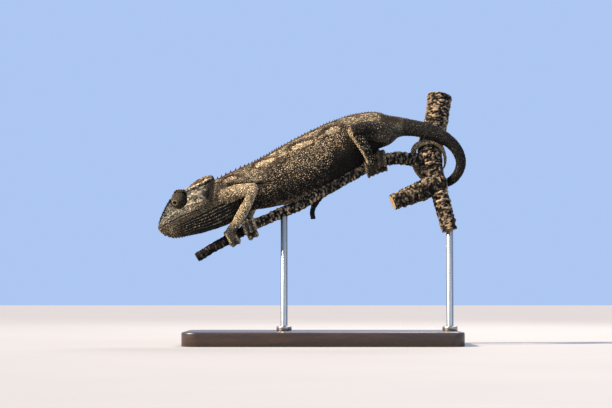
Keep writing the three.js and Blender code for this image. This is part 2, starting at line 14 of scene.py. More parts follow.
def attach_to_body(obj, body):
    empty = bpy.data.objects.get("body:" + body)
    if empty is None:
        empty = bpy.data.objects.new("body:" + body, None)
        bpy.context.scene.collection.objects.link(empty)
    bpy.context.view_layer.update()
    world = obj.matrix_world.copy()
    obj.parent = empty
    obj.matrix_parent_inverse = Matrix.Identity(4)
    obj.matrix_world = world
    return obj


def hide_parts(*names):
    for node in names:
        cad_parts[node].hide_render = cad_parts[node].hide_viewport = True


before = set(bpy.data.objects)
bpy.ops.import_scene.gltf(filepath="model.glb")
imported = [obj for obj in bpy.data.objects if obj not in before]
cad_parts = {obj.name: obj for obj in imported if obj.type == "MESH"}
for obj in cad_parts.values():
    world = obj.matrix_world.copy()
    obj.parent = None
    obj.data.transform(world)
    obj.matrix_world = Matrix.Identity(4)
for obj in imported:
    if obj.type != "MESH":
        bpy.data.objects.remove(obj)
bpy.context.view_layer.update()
mm = 0.001


def through(pairs):  # a smooth curve through [place, value] pairs, level beyond its ends
    places, values = np.array(pairs, float).T
    padded = np.pad((places, values), ((0, 0), (1, 1)), "edge")
    before, after = padded[:, :-2], padded[:, 2:]
    slopes = (after[1] - before[1]) / (after[0] - before[0])

    def at(x):
        x = np.clip(np.asarray(x, float), places[0], places[-1])
        i = np.clip(np.searchsorted(places, x, side="right") - 1, 0, len(places) - 2)
        span = places[i + 1] - places[i]
        w = (x - places[i]) / span
        lift = span * w * (1 - w) * (slopes[i] * (1 - w) - slopes[i + 1] * w)
        return values[i] + (values[i + 1] - values[i]) * w * w * (3 - 2 * w) + lift

    return at


def smooth(x, low, high):  # 0 below low, 1 above high
    w = np.clip((x - low) / (high - low), 0, 1)
    return w * w * (3 - 2 * w)


def hump(x, width):  # a soft ridge of height 1
    return np.exp(-(x / width) ** 2)


def under(x, low, high):  # 1 below low, 0 above high
    return 1 - smooth(x, low, high)


def between(x, low, high, end, gone):  # rises from low to high, and falls from end to gone
    return smooth(x, low, high) * under(x, end, gone)


def lengthOf(v):
    return np.linalg.norm(v, axis=-1)


def unit(v):
    return v / np.maximum(lengthOf(v)[..., None], 1e-12)


def runAlong(line):  # the length of a line up to each of its points
    return np.pad(lengthOf(np.diff(line, axis=0)).cumsum(), (1, 0))


def betweenFour(p0, p1, p2, p3, w):  # centripetal spline between p1 and p2: place and slope
    spans = (p1 - p0, p2 - p1, p3 - p2)
    d0, d1, d2 = (np.maximum(lengthOf(span)[..., None], 1e-6) ** 0.5 for span in spans)
    t1 = ((p1 - p0) / d0 - (p2 - p0) / (d0 + d1) + (p2 - p1) / d1) * d1
    t2 = ((p2 - p1) / d1 - (p3 - p1) / (d1 + d2) + (p3 - p2) / d2) * d1
    square, cube = 3 * (p2 - p1) - 2 * t1 - t2, 2 * (p1 - p2) + t1 + t2
    return p1 + w * (t1 + w * (square + w * cube)), t1 + w * (2 * square + 3 * w * cube)


def curveThrough(points):  # the spline through points, by row number: places and directions
    points = np.array(points, float)
    padded = np.vstack([2 * points[0] - points[1], points, 2 * points[-1] - points[-2]])

    def at(u):
        u = np.atleast_1d(np.asarray(u, float))
        i = np.clip(np.floor(u).astype(int), 0, len(points) - 2)
        place, slope = betweenFour(*(padded[i + k] for k in range(4)), (u - i)[:, None])
        return place, unit(slope)

    return at


def tubeOf(rows):  # the path and the radius of a tube whose rows are x, y, z and radius
    return curveThrough([row[:3] for row in rows]), through([[i, row[3]] for i, row in enumerate(rows)])


def carried(directions, side=(0, 1, 0)):  # side and up vectors that turn least along a path
    sides = []
    for d in directions:
        side = np.array(side) - d * np.dot(side, d)
        side /= np.linalg.norm(side)
        sides.append(side)
    return np.array(sides), np.cross(directions, sides)


def lumps(points, size, seed):  # smooth random values from -1 to 1, in lumps of about this size
    p = np.asarray(points, float) / size + seed * 7.31
    cell = np.floor(p).astype(np.int64)
    w = p - cell
    w = w * w * (3 - 2 * w)
    total = np.zeros(len(p))
    for corner in itertools.product((0, 1), repeat=3):
        c = cell + np.array(corner)
        h = (c[:, 0] * 73856093) ^ (c[:, 1] * 19349663) ^ (c[:, 2] * 83492791) ^ (seed * 2654435)
        h = ((h ^ (h >> 13)) * 1274126177) & 0x7FFFFFFF
        share = np.prod(np.where(corner, w, 1 - w), axis=1)
        total += share * (((h ^ (h >> 11)) % 65536) / 32767.5 - 1)
    return total


def gridFaces(rows, columns, first=0):  # quads of a grid of rows by columns of points
    i = np.arange(rows - 1)[:, None] * columns + np.arange(columns - 1)[None, :] + first
    return np.stack([i, i + 1, i + columns + 1, i + columns], -1).reshape(-1, 4)


def addObject(name, data):
    made = bpy.data.objects.new(name, data)
    bpy.context.scene.collection.objects.link(made)
    return made


def makeMesh(name, points, faces, material=None, isSmooth=True):  # millimetres in, metres out
    mesh = bpy.data.meshes.new(name)
    mesh.from_pydata((np.asarray(points) * mm).tolist(), [], [list(map(int, face)) for face in faces])
    mesh.validate()
    if isSmooth:
        mesh.shade_smooth()
    if material:
        mesh.materials.append(material)
    return addObject(name, mesh)


def attach(piece, domain, **values):  # attributes of a mesh: whole numbers, floats or vectors
    for name, value in values.items():
        value = np.asarray(value)
        kind = "INT" if value.dtype.kind in "iub" else "FLOAT"
        flat = value.astype(np.int32 if kind == "INT" else np.float32).ravel()
        if value.ndim == 2:
            kind = "FLOAT_VECTOR"
        data = piece.data.attributes
        data = (data[name] if name in data else data.new(name, kind, domain)).data
        data.foreach_set("vector" if kind == "FLOAT_VECTOR" else "value", flat)


def enter(piece, slot, *nodes):  # a finished piece, its slot (not used) and the solids that it stands for
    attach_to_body(piece, "root")
    if nodes:
        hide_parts(*nodes)


def closedGrid(rings):  # rings of points, each closed, with a fan over both ends: points and faces
    rings = np.asarray(rings, float)
    rows, columns = rings.shape[:2]
    row, column = np.divmod(gridFaces(rows, columns + 1), columns + 1)
    quads = row * columns + column % columns
    points = np.vstack([rings.reshape(-1, 3), rings[0].mean(0), rings[-1].mean(0)])
    low, high, last = rows * columns, rows * columns + 1, (rows - 1) * columns
    faces = quads.tolist() + [[low, (j + 1) % columns, j] for j in range(columns)]
    faces += [[high, last + j, last + (j + 1) % columns] for j in range(columns)]
    corners = points[quads]
    across = np.cross(corners[:, 2] - corners[:, 0], corners[:, 3] - corners[:, 1])
    if ((corners.mean(1) - points.mean(0)) * across).sum() < 0:  # the rows ran the other way round
        faces = [face[::-1] for face in faces]
    return points, faces


def pileUp(shapes):  # several (points, faces) as one
    points, faces, count = [], [], 0
    for p, f in shapes:
        points.append(p)
        faces += [[v + count for v in face] for face in f]
        count += len(p)
    return np.vstack(points), faces


def finalMesh(source):  # a plain mesh of an object and its modifiers
    return bpy.data.meshes.new_from_object(source.evaluated_get(bpy.context.evaluated_depsgraph_get()))


def remeshed(name, points, faces, voxel):  # one closed skin round all the shapes: points, quads
    source = makeMesh(name, np.asarray(points) / mm, faces)
    shrink = source.modifiers.new("remesh", "REMESH")
    shrink.mode = "VOXEL"
    shrink.voxel_size = voxel
    mesh = finalMesh(source)
    if len(mesh.loops) != 4 * len(mesh.polygons):
        raise ValueError(f"{name} came back with faces that aren't quads")
    found, corners = np.empty(len(mesh.vertices) * 3), np.empty(len(mesh.loops), int)
    mesh.vertices.foreach_get("co", found)
    mesh.loops.foreach_get("vertex_index", corners)
    bpy.data.objects.remove(source)
    return found.reshape(-1, 3), corners.reshape(-1, 4)


def normalsOf(points, quads):
    across = np.cross(points[quads[:, 2]] - points[quads[:, 0]], points[quads[:, 3]] - points[quads[:, 1]])
    total = [np.bincount(quads.ravel(), np.repeat(across[:, k], 4), len(points)) for k in range(3)]
    return unit(np.stack(total, 1))


def edgesOf(quads):
    pairs = np.vstack([quads[:, [k, (k + 1) % 4]] for k in range(4)])
    return np.unique(np.sort(pairs, axis=1), axis=0)


def meanOfNeighbours(values, edges):
    count = np.bincount(edges.ravel(), minlength=len(values))
    sums = [np.bincount(edges[:, 0], c[edges[:, 1]], len(values))
            + np.bincount(edges[:, 1], c[edges[:, 0]], len(values)) for c in np.atleast_2d(values.T)]
    return (np.array(sums) / count).T.reshape(values.shape)


def linear(colour):  # an sRGB hex value as linear red, green, blue, 1
    channels = [int(colour[i:i + 2], 16) / 255 for i in (1, 3, 5)]
    return (*(c / 12.92 if c <= 0.04045 else ((c + 0.055) / 1.055) ** 2.4 for c in channels), 1)


def scaleOf(size):  # the scale that gives a pattern a real size in millimetres
    return 1 / (size * mm)


def outputOf(node):
    return next(s for s in node.outputs if s.enabled)


# A link is a value, a hex colour, a socket, a node or an attribute's name. Links go to inputs by name, or in
# the order of the inputs. A kind is a node's name in Blender without its family.
def addNode(tree, kind, links=(), **settings):
    families = ("ShaderNode", "GeometryNode", "FunctionNode", "Node")
    node = tree.nodes.new(next(f + kind for f in families if hasattr(bpy.types, f + kind)))
    if kind == "Mix":
        node.data_type = "RGBA"
    for key, value in settings.items():
        setattr(node, key, value)
    for key, value in (links.items() if isinstance(links, dict) else enumerate(links)):
        socket = node.inputs[key] if isinstance(key, int) else next(
            found for found in node.inputs if found.name == key and found.enabled)
        if isinstance(value, str) and value.startswith("#"):
            value = linear(value)[:len(socket.default_value)]
        elif isinstance(value, str) and socket.type != "STRING" and tree.bl_idname == "ShaderNodeTree":
            named = addNode(tree, "Attribute", attribute_name=value)
            value = named.outputs["Vector" if socket.type == "VECTOR" else "Fac"]
        elif isinstance(value, str) and socket.type != "STRING":
            sort = {"VECTOR": "FLOAT_VECTOR", "INT": "INT"}.get(socket.type, "FLOAT")
            value = addNode(tree, "InputNamedAttribute", {"Name": value}, data_type=sort)
        if isinstance(value, bpy.types.Node):
            value = outputOf(value)
        if isinstance(value, bpy.types.NodeSocket):
            tree.links.new(value, socket)
        else:
            socket.default_value = value
    return node


def newMaterial(name, **constants):  # the material, what adds a node to it, and its object coordinates
    material = bpy.data.materials.new(name)
    material.use_nodes = True
    for label, value in constants.items():
        material.node_tree.nodes["Principled BSDF"].inputs[label.replace("_", " ")].default_value = value
    add = partial(addNode, material.node_tree)
    return material, add, add("TexCoord").outputs["Object"]


def painted(add, colour, *layers):  # colours laid over a colour: what drives each, from, to, most, colour
    for value, low, high, most, tint in layers:
        colour = add("Mix", {"Factor": add("MapRange", (value, low, high, 0, most)), "A": colour, "B": tint})
    return colour


# The colour, the roughness and the relief (what drives it, its strength, its height in mm) of a shader.
def finished(material, add, colour, rough=None, relief=None):
    normal = relief and add("Bump", {"Height": relief[0], "Strength": relief[1], "Distance": relief[2] * mm})
    inputs = material.node_tree.nodes["Principled BSDF"].inputs
    for label, node in (("Base Color", colour), ("Roughness", rough), ("Normal", normal)):
        if node:
            material.node_tree.links.new(outputOf(node), inputs[label])
    return material


# The perch is a forked twig. Its rows, like a limb's, are centre x, y, z and radius.
perch = {
    "branch": [
        (-99, 0.6, 75, 4.1), (-83.4, 0, 84.3, 4.2), (-66.2, 0, 93.7, 4.3), (-49, 0, 103.5, 4.4),
        (-31.8, 0, 111, 4.6), (-14.6, 0, 118.7, 5.2), (2.6, 0, 128.1, 4.9), (19.8, 0, 137.2, 4.6),
        (37, 0, 147, 4.6), (49.9, 0, 154, 4.8), (62.8, 0, 159, 5.2), (75.7, 0.5, 160.4, 5.7),
        (88.6, 3, 159.2, 6.1), (101, 7, 157, 7),
    ],
    "stem": [
        (118, -2.5, 98, 6.8), (114.4, -1, 112, 6.9), (109, 2, 133, 7.4), (104.5, 5.5, 148, 9.2),
        (101.8, 8.5, 163, 10.8), (103, 12, 175, 10.2), (108, 16.5, 193, 10.2), (112, 22, 217, 10.4),
    ],
    "fork": [(108, 2, 139, 8.4), (92.9, -1, 132, 8.6), (78, -3.5, 126, 7.4), (69, -5, 122, 7)],
    "twig": [(9, 0, 130, 2.6), (0.5, 0.4, 116, 2.3), (0.8, 0.8, 108, 2.1)],
    "cutRows": {"branch": (True, False), "stem": (True, True), "fork": (False, True), "twig": (False, True)},
    "gap": 0.3,  # clear space that the toes keep
}
branchPath, branchRadius = tubeOf(perch["branch"])
branchRows = np.linspace(0, len(perch["branch"]) - 1, 2000)
branchX = branchPath(branchRows)[0][:, 0]


def branchAt(x):  # centre, direction and radius of the branch
    u = np.interp(x, branchX, branchRows)
    place, direction = branchPath(u)
    return place[0], direction[0], float(branchRadius(u))


body = {  # centre x, y, z, half height and half width, from throat to tail tip
    "trunk": [
        (-95, 0, 114.6, 18.4, 9), (-79, 0, 121.5, 19.6, 10.5), (-58.9, 0, 132.6, 18.9, 12),
        (-40, 0, 138.7, 21.4, 13), (-21.9, 0, 145.4, 24.2, 13.8), (-4.4, 0, 155, 24.2, 14),
        (12.6, 0, 164, 24, 13.6), (28.6, 0, 172.4, 22.8, 12.4), (40.8, 0, 179.2, 20.2, 11),
        (51.6, 0, 183.6, 17, 10), (62.4, 0, 185, 14.2, 8.4),
    ],
    "tail": [
        (73.5, -0.8, 187.3, 9, 7.2), (85.1, -2.6, 186.6, 7.4, 6.7), (99.3, -4.8, 183.4, 6.8, 6.3),
        (111.4, -4.6, 178.7, 6, 5.8), (120.8, -3.2, 172, 5.4, 5.2), (126.2, -1.4, 164.5, 5, 4.9),
        (128.3, 0.8, 156.3, 4.6, 4.5), (126.6, 3, 149, 4.3, 4.2), (122.4, 5.6, 143.4, 4.1, 4),
        (116.4, 10, 139.8, 3.8, 3.7),
    ],
    "coil": [  # turn in degrees and distance from the stem's axis, height, radius
        (88, 13.4, 140, 3.5), (125, 14.4, 145.5, 3.3), (146, 14.8, 153, 3.1), (156, 14.4, 161, 2.9),
        (184, 13.7, 168.6, 2.7), (226, 13.3, 173.4, 2.5), (266, 12.9, 174.8, 2.3), (308, 13, 171.4, 2.1),
        (348, 13.2, 163.6, 1.8), (372, 13, 156.6, 1.4), (394, 12.2, 151.6, 0.8),
    ],
    # the back is keeled, the belly fuller, the tail nearly round
    "keel": through([[0, 1], [1.5, 1.05], [4, 1.22], [8, 1.2], [11, 1.05], [14, 1]]),
    "drop": through([[0, -0.05], [2, 0.05], [4, 0.12], [8, 0.06], [11, 0], [31, 0]]),
    "trunkSteps": 150, "tailSteps": 170, "columns": 96,
}
stemAxis = [through([[row[2], row[k]] for row in perch["stem"]]) for k in (0, 1)]
bodyLine = body["trunk"] + body["tail"]
for turn, distance, height, radius in body["coil"]:
    turn = math.radians(turn)
    bodyLine.append((float(stemAxis[0](height)) + distance * math.cos(turn),
                     float(stemAxis[1](height)) + distance * math.sin(turn), height, radius, radius))
bodyPath = curveThrough([row[:3] for row in bodyLine])
bodyHigh, bodyWide = (through([[i, row[k]] for i, row in enumerate(bodyLine)]) for k in (3, 4))

head = {  # s runs back from the snout along the mouth, t up, y to the animal's right
    "snout": (-132, 0, 98.9), "pitch": 27, "lean": 0.45, "long": 52, "nose": 2.6,
    "rings": [0.03, 0.12, 0.3, 0.6, 1, 1.5, 2, *np.arange(2.6, 52, 0.9), 52],
    "rear": [(0.7, 0.98), (1.4, 0.94), (2.3, 0.84), (2.9, 0.66), (3.1, 0.35), (3.1, 0.02)],  # shift, share
    "middle": 2,  # height about which the rear rings shrink
    "jowl": 5.5,  # how much further back the cheeks and jaw taper into the neck than the casque
    "between": 8,  # points from one line of the head to the next
}
headLines = {  # [ring, value] pairs, from below: t is the height over the mouth, y the half breadth
    "throat": {
        "t": [[0, -4.2], [2.9, -6.8], [5.8, -9.4], [8.8, -11.8], [15.3, -14.4], [22.3, -16.2],
              [30.8, -18], [41.9, -20.2], [52, -21.4]],
        "y": [[0, 0], [52, 0]],
    },
    "pouch": {
        "t": [[0, -3], [5, -7.6], [10, -10.8], [22, -14], [34, -16.6], [44, -18], [52, -19]],
        "y": [[0, 1.8], [5, 3.2], [10, 4.6], [22, 6.8], [34, 8.4], [44, 9], [52, 9]],
    },
    "jawEdge": {
        "t": [[0, -1.8], [5, -4.6], [10, -6.2], [22, -8], [32, -9.4], [42, -11], [52, -13]],
        "y": [[0, 3], [5, 5], [10, 6.9], [22, 10.1], [32, 11.9], [42, 12.8], [52, 12]],
    },
    "lip": {
        "t": [[0, 0], [10, 0.3], [22, 0.4], [32, -0.4], [42, -2.2], [52, -5]],
        "y": [[0, 3.4], [5, 5.6], [10, 7.3], [22, 10.7], [32, 12.5], [42, 13.4], [52, 12.2]],
    },
    "cheekbone": {
        "t": [[0, 0.9], [10, 4.4], [21, 7], [31, 7.4], [41, 5.4], [52, 4]],
        "y": [[0, 3.3], [10, 7.1], [21, 10.6], [31, 12.5], [41, 13.5], [52, 12]],
    },
    "temple": {
        "t": [[0, 1.6], [10, 7.4], [20, 12], [27, 14], [36, 13.4], [44, 12.6], [52, 12]],
        "y": [[0, 3], [10, 6], [20, 8.7], [27, 10], [36, 11.6], [44, 11.6], [52, 9.4]],
    },
    "ridge": {
        "t": [[0, 2.6], [4.7, 5.9], [9.1, 10.1], [14.1, 14.6], [18, 18.2], [23, 21.8], [26.2, 21.7],
              [30.8, 19.4], [36.9, 18.5], [42.9, 18.6], [48.8, 18.8], [52, 18.4]],
        "y": [[0, 2.2], [4.7, 3.4], [9.1, 4.7], [14.1, 6.1], [18, 7.4], [23, 8.7], [26.2, 8.9],
              [30.8, 8.7], [36.9, 8.7], [42.9, 7.6], [48.8, 5.4], [52, 3]],
    },
    "crown": {
        "t": [[0, 2.9], [2.5, 3.9], [4.8, 5.6], [9.2, 9], [14.2, 13.3], [18.3, 16.5], [23.6, 18.8],
              [29.5, 19.2], [33.1, 20.4], [39.1, 22.5], [43.2, 22.8], [47.6, 22.4], [52, 20.8]],
        "y": [[0, 0], [52, 0]],
    },
}
lineAt = {name: {axis: through(pairs) for axis, pairs in line.items()} for name, line in headLines.items()}
pitch = math.radians(head["pitch"])
snout = np.array(head["snout"], float)
across = np.array((0, 1, 0))
headAlong = np.array((math.cos(pitch), 0, math.sin(pitch)))
headUp = np.array((-math.sin(pitch), 0, math.cos(pitch)))


def inHead(s, y, t):  # places in the head's own frame as places in the model
    s, y, t = np.broadcast_arrays(*(np.asarray(v, float) for v in (s, y, t)))
    return snout + s[..., None] * headAlong + y[..., None] * across + t[..., None] * headUp


def headPlace(ring, y, t):  # the same, from the ring that a place lies on
    return inHead(ring + head["lean"] * ring * t / head["long"], y, t)


def noseShare(rings):  # how far the head has grown from its tip to its full section
    return np.sqrt(1 - (1 - np.minimum(rings / head["nose"], 1)) ** 2)


eye = {  # centre (s, y, t), the lid turret's radius, the way it looks, and its opening's radius and rim
    "centre": (27.6, 7.6, 14.1), "radius": 6.9, "forward": 0.56, "down": 0.14, "opening": 1.5, "rim": 0.35,
}


def eyeAim(way):  # centre of the eye and the way it looks: -1 left, 1 right
    sideways = math.sqrt(1 - eye["forward"] ** 2 - eye["down"] ** 2)
    s, y, t = eye["centre"]
    return inHead(s, way * y, t), unit(inHead(-eye["forward"], way * sideways, -eye["down"]) - snout)


def fromGaze(points, way):  # how far along an eye's gaze, and the way straight out from it
    centre, gaze = eyeAim(way)
    reach = (points - centre) @ gaze
    return reach, points - centre - reach[:, None] * gaze


limbs = {  # from the body outwards; feet stand on the branch at x
    "arm_left": {
        "upper": [(-75, -8, 127, 6.6), (-66, -14, 130, 6.4), (-57, -18.5, 132.4, 5.4),
                  (-50.2, -21.2, 133.6, 4.5)],
        "lower": [(-49.4, -21.2, 132.6, 4), (-54.4, -18.4, 121.5, 4.2), (-59.6, -14.6, 111.8, 4.7),
                  (-64.2, -11, 104.4, 4.5)],
        "foot": {"name": "hand_left", "x": -68.4, "side": -1, "outer": 2, "inner": 3, "toe": 2.5,
                 "hang": 0.2, "lean": 0},
    },
    "arm_right": {
        "upper": [(-75, 8, 127, 6.6), (-66, 14, 130, 6.4), (-56, 18, 132.6, 5.4), (-47, 20.6, 133.6, 4.5)],
        "lower": [(-46.4, 20.6, 132.6, 4), (-49.6, 17.6, 125, 4.2), (-52.6, 14, 118.4, 4.6),
                  (-54.6, 10.4, 112.6, 4.4)],
        "foot": {"name": "hand_right", "x": -52.4, "side": 1, "outer": 2, "inner": 3, "toe": 2.5,
                 "hang": 2, "lean": -2.4},
    },
    "leg_left": {
        "upper": [(60, -6, 182.6, 9.2), (52, -12, 183.4, 8.6), (43, -17, 183, 7.2), (36.4, -19.4, 182, 6.2)],
        "lower": [(37, -19.4, 180.6, 5.4), (42.6, -17.6, 171.6, 5), (47.6, -14.4, 163, 4.3),
                  (50.4, -11.2, 157.4, 4.1)],
        "foot": {"name": "foot_left", "x": 51.2, "side": -1, "outer": 3, "inner": 2, "toe": 2.1,
                 "hang": 2, "lean": -2.6},
    },
    "leg_right": {
        "upper": [(60, 6, 182.6, 9.2), (53, 12, 183, 8.6), (45, 17, 182, 7.2), (39, 19.4, 180, 6.2)],
        "lower": [(39.6, 19.4, 178.6, 5.2), (46, 17.6, 172.4, 4.8), (53.4, 14.4, 167.6, 4.3),
                  (58.4, 11, 164.4, 4.1)],
        "foot": {"name": "foot_right", "x": 61.2, "side": 1, "outer": 3, "inner": 2, "toe": 2.1,
                 "hang": 2, "lean": -3.4},
    },
}
limbSteps = {"upper": (34, 36), "lower": (40, 36), "palm": (18, 32), "toe": (22, 20)}  # rows and columns
palm = {"middle": 0.55, "thick": (0.92, 0.95, 1.4)}  # its middle, then shares of wrist, wrist and toe radius
toes = {
    "arc": {"outer": (40, 158), "inner": (10, 116)},  # degrees round the branch from its top
    "apart": 1.85, "fan": 0.2, "share": {2: 1, 3: 0.82}, "innerHang": 0.4,
}


def toesOf(foot):
    for bundle, way in (("outer", 1), ("inner", -1)):
        radius = foot["toe"] * toes["share"][foot[bundle]]
        for k in range(foot[bundle]):
            offset = (k - (foot[bundle] - 1) / 2) * radius * toes["apart"]
            yield {"foot": foot, "bundle": bundle, "way": way * foot["side"], "radius": radius,
                   "offset": offset, "name": f"{foot['name']}_{bundle}_{k + 1}"}


def alongToe(toe, share, lift=0.0):  # a place on or beyond a toe's arc: 0 at its root, 1 at its end
    foot = toe["foot"]
    centre, along, radius = branchAt(foot["x"])
    up = unit(np.cross(along, across))
    start, end = toes["arc"][toe["bundle"]]
    angle = math.radians(start + (end - start) * share)
    hang = foot["hang"] if toe["bundle"] == "outer" else toes["innerHang"]
    reach = radius + perch["gap"] + toe["radius"] + hang * share ** 3 + lift
    shift = toe["offset"] * (1 + toes["fan"] * share) + foot["lean"] * (1 - math.cos(angle)) / 2
    return (centre + along * shift + up * reach * math.cos(angle)
            + np.array((0, toe["way"], 0)) * reach * math.sin(angle))


# Each part of the animal is a grid of points: rows run along it, columns round it from its underside.
parts = []


def addPart(kind, grid, along):  # the seam's points are there twice
    grid = np.concatenate([grid, grid[:, :1]], axis=1)
    parts.append({"kind": kind, "grid": grid, "along": np.asarray(along, float)})


def tubeRings(path, us, high, wide, columns, keel=None, drop=None, ends=(True, True)):
    places, directions = path(us)
    sides, ups = carried(directions)
    angles = np.pi + np.arange(columns) / columns * 2 * np.pi
    c, s = np.cos(angles)[None, :, None], np.sin(angles)[None, :, None]

    def rings(i, scale, shift):
        u = us[i][:, None, None]
        breadth = s if keel is None else np.sign(s) * np.abs(s) ** keel(u) * (1 - drop(u) * c)
        middle = places[i][:, None] + directions[i][:, None] * shift
        return (middle + ups[i][:, None] * c * high(u) * scale
                + sides[i][:, None] * breadth * wide(u) * scale)

    made, along = [rings(np.arange(len(us)), 1, 0)], [us]
    lean = np.radians((20, 40, 57, 72, 84, 89.5))[:, None, None]  # rings of a rounded end
    for end, way in ((0, -1), (-1, 1)):
        if ends[end]:
            i = np.full(len(lean), end) % len(us)
            reach = float(high(us[end]) + wide(us[end])) / 2
            cap = rings(i, np.cos(lean), way * reach * np.sin(lean))
            made = [cap[::-1], *made] if end == 0 else [*made, cap]
            along = [us[i], *along] if end == 0 else [*along, us[i]]
    return np.concatenate(made), np.concatenate(along)


def addTube(kind, rows, steps, columns):
    path, radius = tubeOf(rows)
    addPart(kind, *tubeRings(path, np.linspace(0, len(rows) - 1, steps), radius, radius, columns))


def headGrid():
    rings = np.array(head["rings"])
    half = np.array([[line["y"](rings), line["t"](rings)] for line in lineAt.values()])
    left = half * np.array((-1, 1))[None, :, None]
    loop = np.concatenate([left, half[-2:0:-1]]).transpose(2, 0, 1)  # ring, point, (y, t)
    w = (np.arange(head["between"]) / head["between"])[None, None, :, None]
    four = [np.roll(loop, 1 - k, axis=1)[:, :, None] for k in range(4)]
    section = betweenFour(*four, w)[0].reshape(len(rings), -1, 2) * noseShare(rings)[:, None, None]
    rear = []
    for shift, scale in head["rear"]:
        y, t = section[-1, :, 0] * scale, head["middle"] + (section[-1, :, 1] - head["middle"]) * scale
        longer = 1 + (head["jowl"] - 1) * under(t, 5, 15)
        rear.append(headPlace(head["long"], y, t) + (shift * longer)[:, None] * headAlong)
    grid = headPlace(rings[:, None], section[..., 0], section[..., 1])
    return np.concatenate([grid, rear]), [*rings, *([head["long"]] * len(rear))]


addPart("head", *headGrid())
bodyRows = np.concatenate([np.linspace(0, 11, body["trunkSteps"])[:-1],
                           np.linspace(11, len(bodyLine) - 1, body["tailSteps"])])
addPart("body", *tubeRings(bodyPath, bodyRows, bodyHigh, bodyWide, body["columns"], body["keel"],
                           body["drop"]))
for limbName, limb in limbs.items():
    kind, foot = limbName.split("_")[0], limb["foot"]
    addTube(kind + "Upper", limb["upper"], *limbSteps["upper"])
    addTube(kind + "Lower", limb["lower"], *limbSteps["lower"])
    wrist, wristRadius = np.array(limb["lower"][-1][:3]), limb["lower"][-1][3]
    knuckle = {"foot": foot, "bundle": "outer", "way": foot["side"], "radius": foot["toe"], "offset": 0}
    sole = alongToe(knuckle, 0)
    middle = wrist + (sole - wrist) * palm["middle"]
    thick = np.array((wristRadius, wristRadius, foot["toe"])) * palm["thick"]
    addTube("palm", [(*place, r) for place, r in zip((wrist, middle, sole), thick)], *limbSteps["palm"])
    for toe in toesOf(foot):
        rows = [(*alongToe(toe, share), toe["radius"]) for share in np.linspace(0, 1, 7)]
        addTube("toe", rows, *limbSteps["toe"])
print("parts:", len(parts), "with", sum(p["grid"][..., 0].size for p in parts), "points")

skin = {  # one hide over all the parts, in mm
    "voxel": 0.76,
    "depth": 0.32,  # how far the hide lies under the tops of the scales
    "fill": 9,  # rounds of filling the creases between parts
    "jowl": 24,  # rounds of smoothing from the cheeks to the neck
    "folds": 6, "foldDepth": 1.3,  # long folds of the throat
    "socket": through([[0, 5.2], [6, 4.6], [7, 2.7], [7.7, 1.1], [8.6, 0.3], [9.8, 0]]),  # depth by radius
    "crease": ((-71, 9.6, 137), (-42.5, 12.4, 137.6)),  # behind each upper arm, from and to
    "neckBand": {"from": -91, "to": -84, "low": 117},  # a dark band across the neck, behind the temple
}
shapes = [closedGrid(part["grid"][:, :-1]) for part in parts]
places, quads = remeshed("skin_source", *pileUp(shapes), skin["voxel"])
edges = edgesOf(quads)
for step in range(skin["fill"]):
    shift = meanOfNeighbours(places, edges) - places
    outward = (shift * normalsOf(places, quads)).sum(1)
    places = places + shift * np.where(outward > 0, 0.75, 0.12)[:, None]


def headFrame(points):  # s, y and t of places
    return (((points - snout) * axis).sum(1) for axis in (headAlong, across, headUp))


def softened(values, share):  # values drawn towards their neighbours' mean
    return values + (meanOfNeighbours(values, edges) - values) * share


for step in range(skin["jowl"]):  # the back of the head runs into the neck below the casque
    s, side, t = headFrame(places)
    soft = 0.6 * np.exp(-((s - 54) / 7) ** 2) * under(t, 13, 17) * (s < 70)
    places = softened(places, soft[:, None])

gridPoints = np.vstack([p["grid"].reshape(-1, 3) for p in parts])
gridQuads, gridOwner, first = [], [], 0
for n, part in enumerate(parts):
    rows, columns = part["grid"].shape[:2]
    gridQuads.append(gridFaces(rows, columns, first))
    part["firstQuad"] = len(gridOwner)
    gridOwner += [n] * len(gridQuads[-1])
    part["run"] = runAlong(part["grid"].mean(1))
    part["round"] = float(lengthOf(np.diff(part["grid"], axis=1)).sum(1).max())
    first += rows * columns
gridQuads, gridOwner = np.vstack(gridQuads), np.array(gridOwner)


def placedOn(points, owner, onQuad, at):  # where points lie on the grids of their parts
    found = {key: np.zeros(len(points)) for key in ("along", "around", "run")}
    found["lie"] = np.zeros((len(points), 3))
    for n, part in enumerate(parts):
        mine = np.flatnonzero(owner == n)
        if not len(mine):
            continue
        columns = part["grid"].shape[1]
        r, c = np.divmod(onQuad[mine] - part["firstQuad"], columns - 1)
        corner, nextColumn, nextRow = (part["grid"][i, j] for i, j in ((r, c), (r, c + 1), (r + 1, c)))
        steps = []
        for way in (nextRow - corner, nextColumn - corner):
            square = np.maximum((way ** 2).sum(1), 1e-9)
            steps.append(np.clip(((at[mine] - corner) * way).sum(1) / square, 0, 1))
        for key in ("along", "run"):
            found[key][mine] = part[key][r] + (part[key][r + 1] - part[key][r]) * steps[0]
        found["around"][mine] = (c + steps[1]) / (columns - 1)
        found["lie"][mine] = unit(nextRow - corner)
    return found


def nearest(tree, points):
    hits = [tree.find_nearest(p) for p in points.tolist()]
    return np.array([h[2] for h in hits]), np.array([h[0] for h in hits])


onQuad, at = nearest(BVHTree.FromPolygons(gridPoints.tolist(), gridQuads.tolist()), places)
owner = gridOwner[onQuad]
on = placedOn(places, owner, onQuad, at)
kinds = np.array([p["kind"] for p in parts])[owner]
isBody, isHead, isUpperLeg = (kinds == kind for kind in ("body", "head", "legUpper"))
isFoot, isArm, isLeg = (np.isin(kinds, pair) for pair in (
    ("palm", "toe"), ("armUpper", "armLower"), ("legUpper", "legLower")))
rise = -np.cos(2 * np.pi * on["around"])  # on the trunk and tail: 1 along the back, -1 along the belly
s, side, t = headFrame(places)
ring = np.clip(s / (1 + head["lean"] * t / head["long"]), 0, head["long"])
flatSide = np.abs(side)


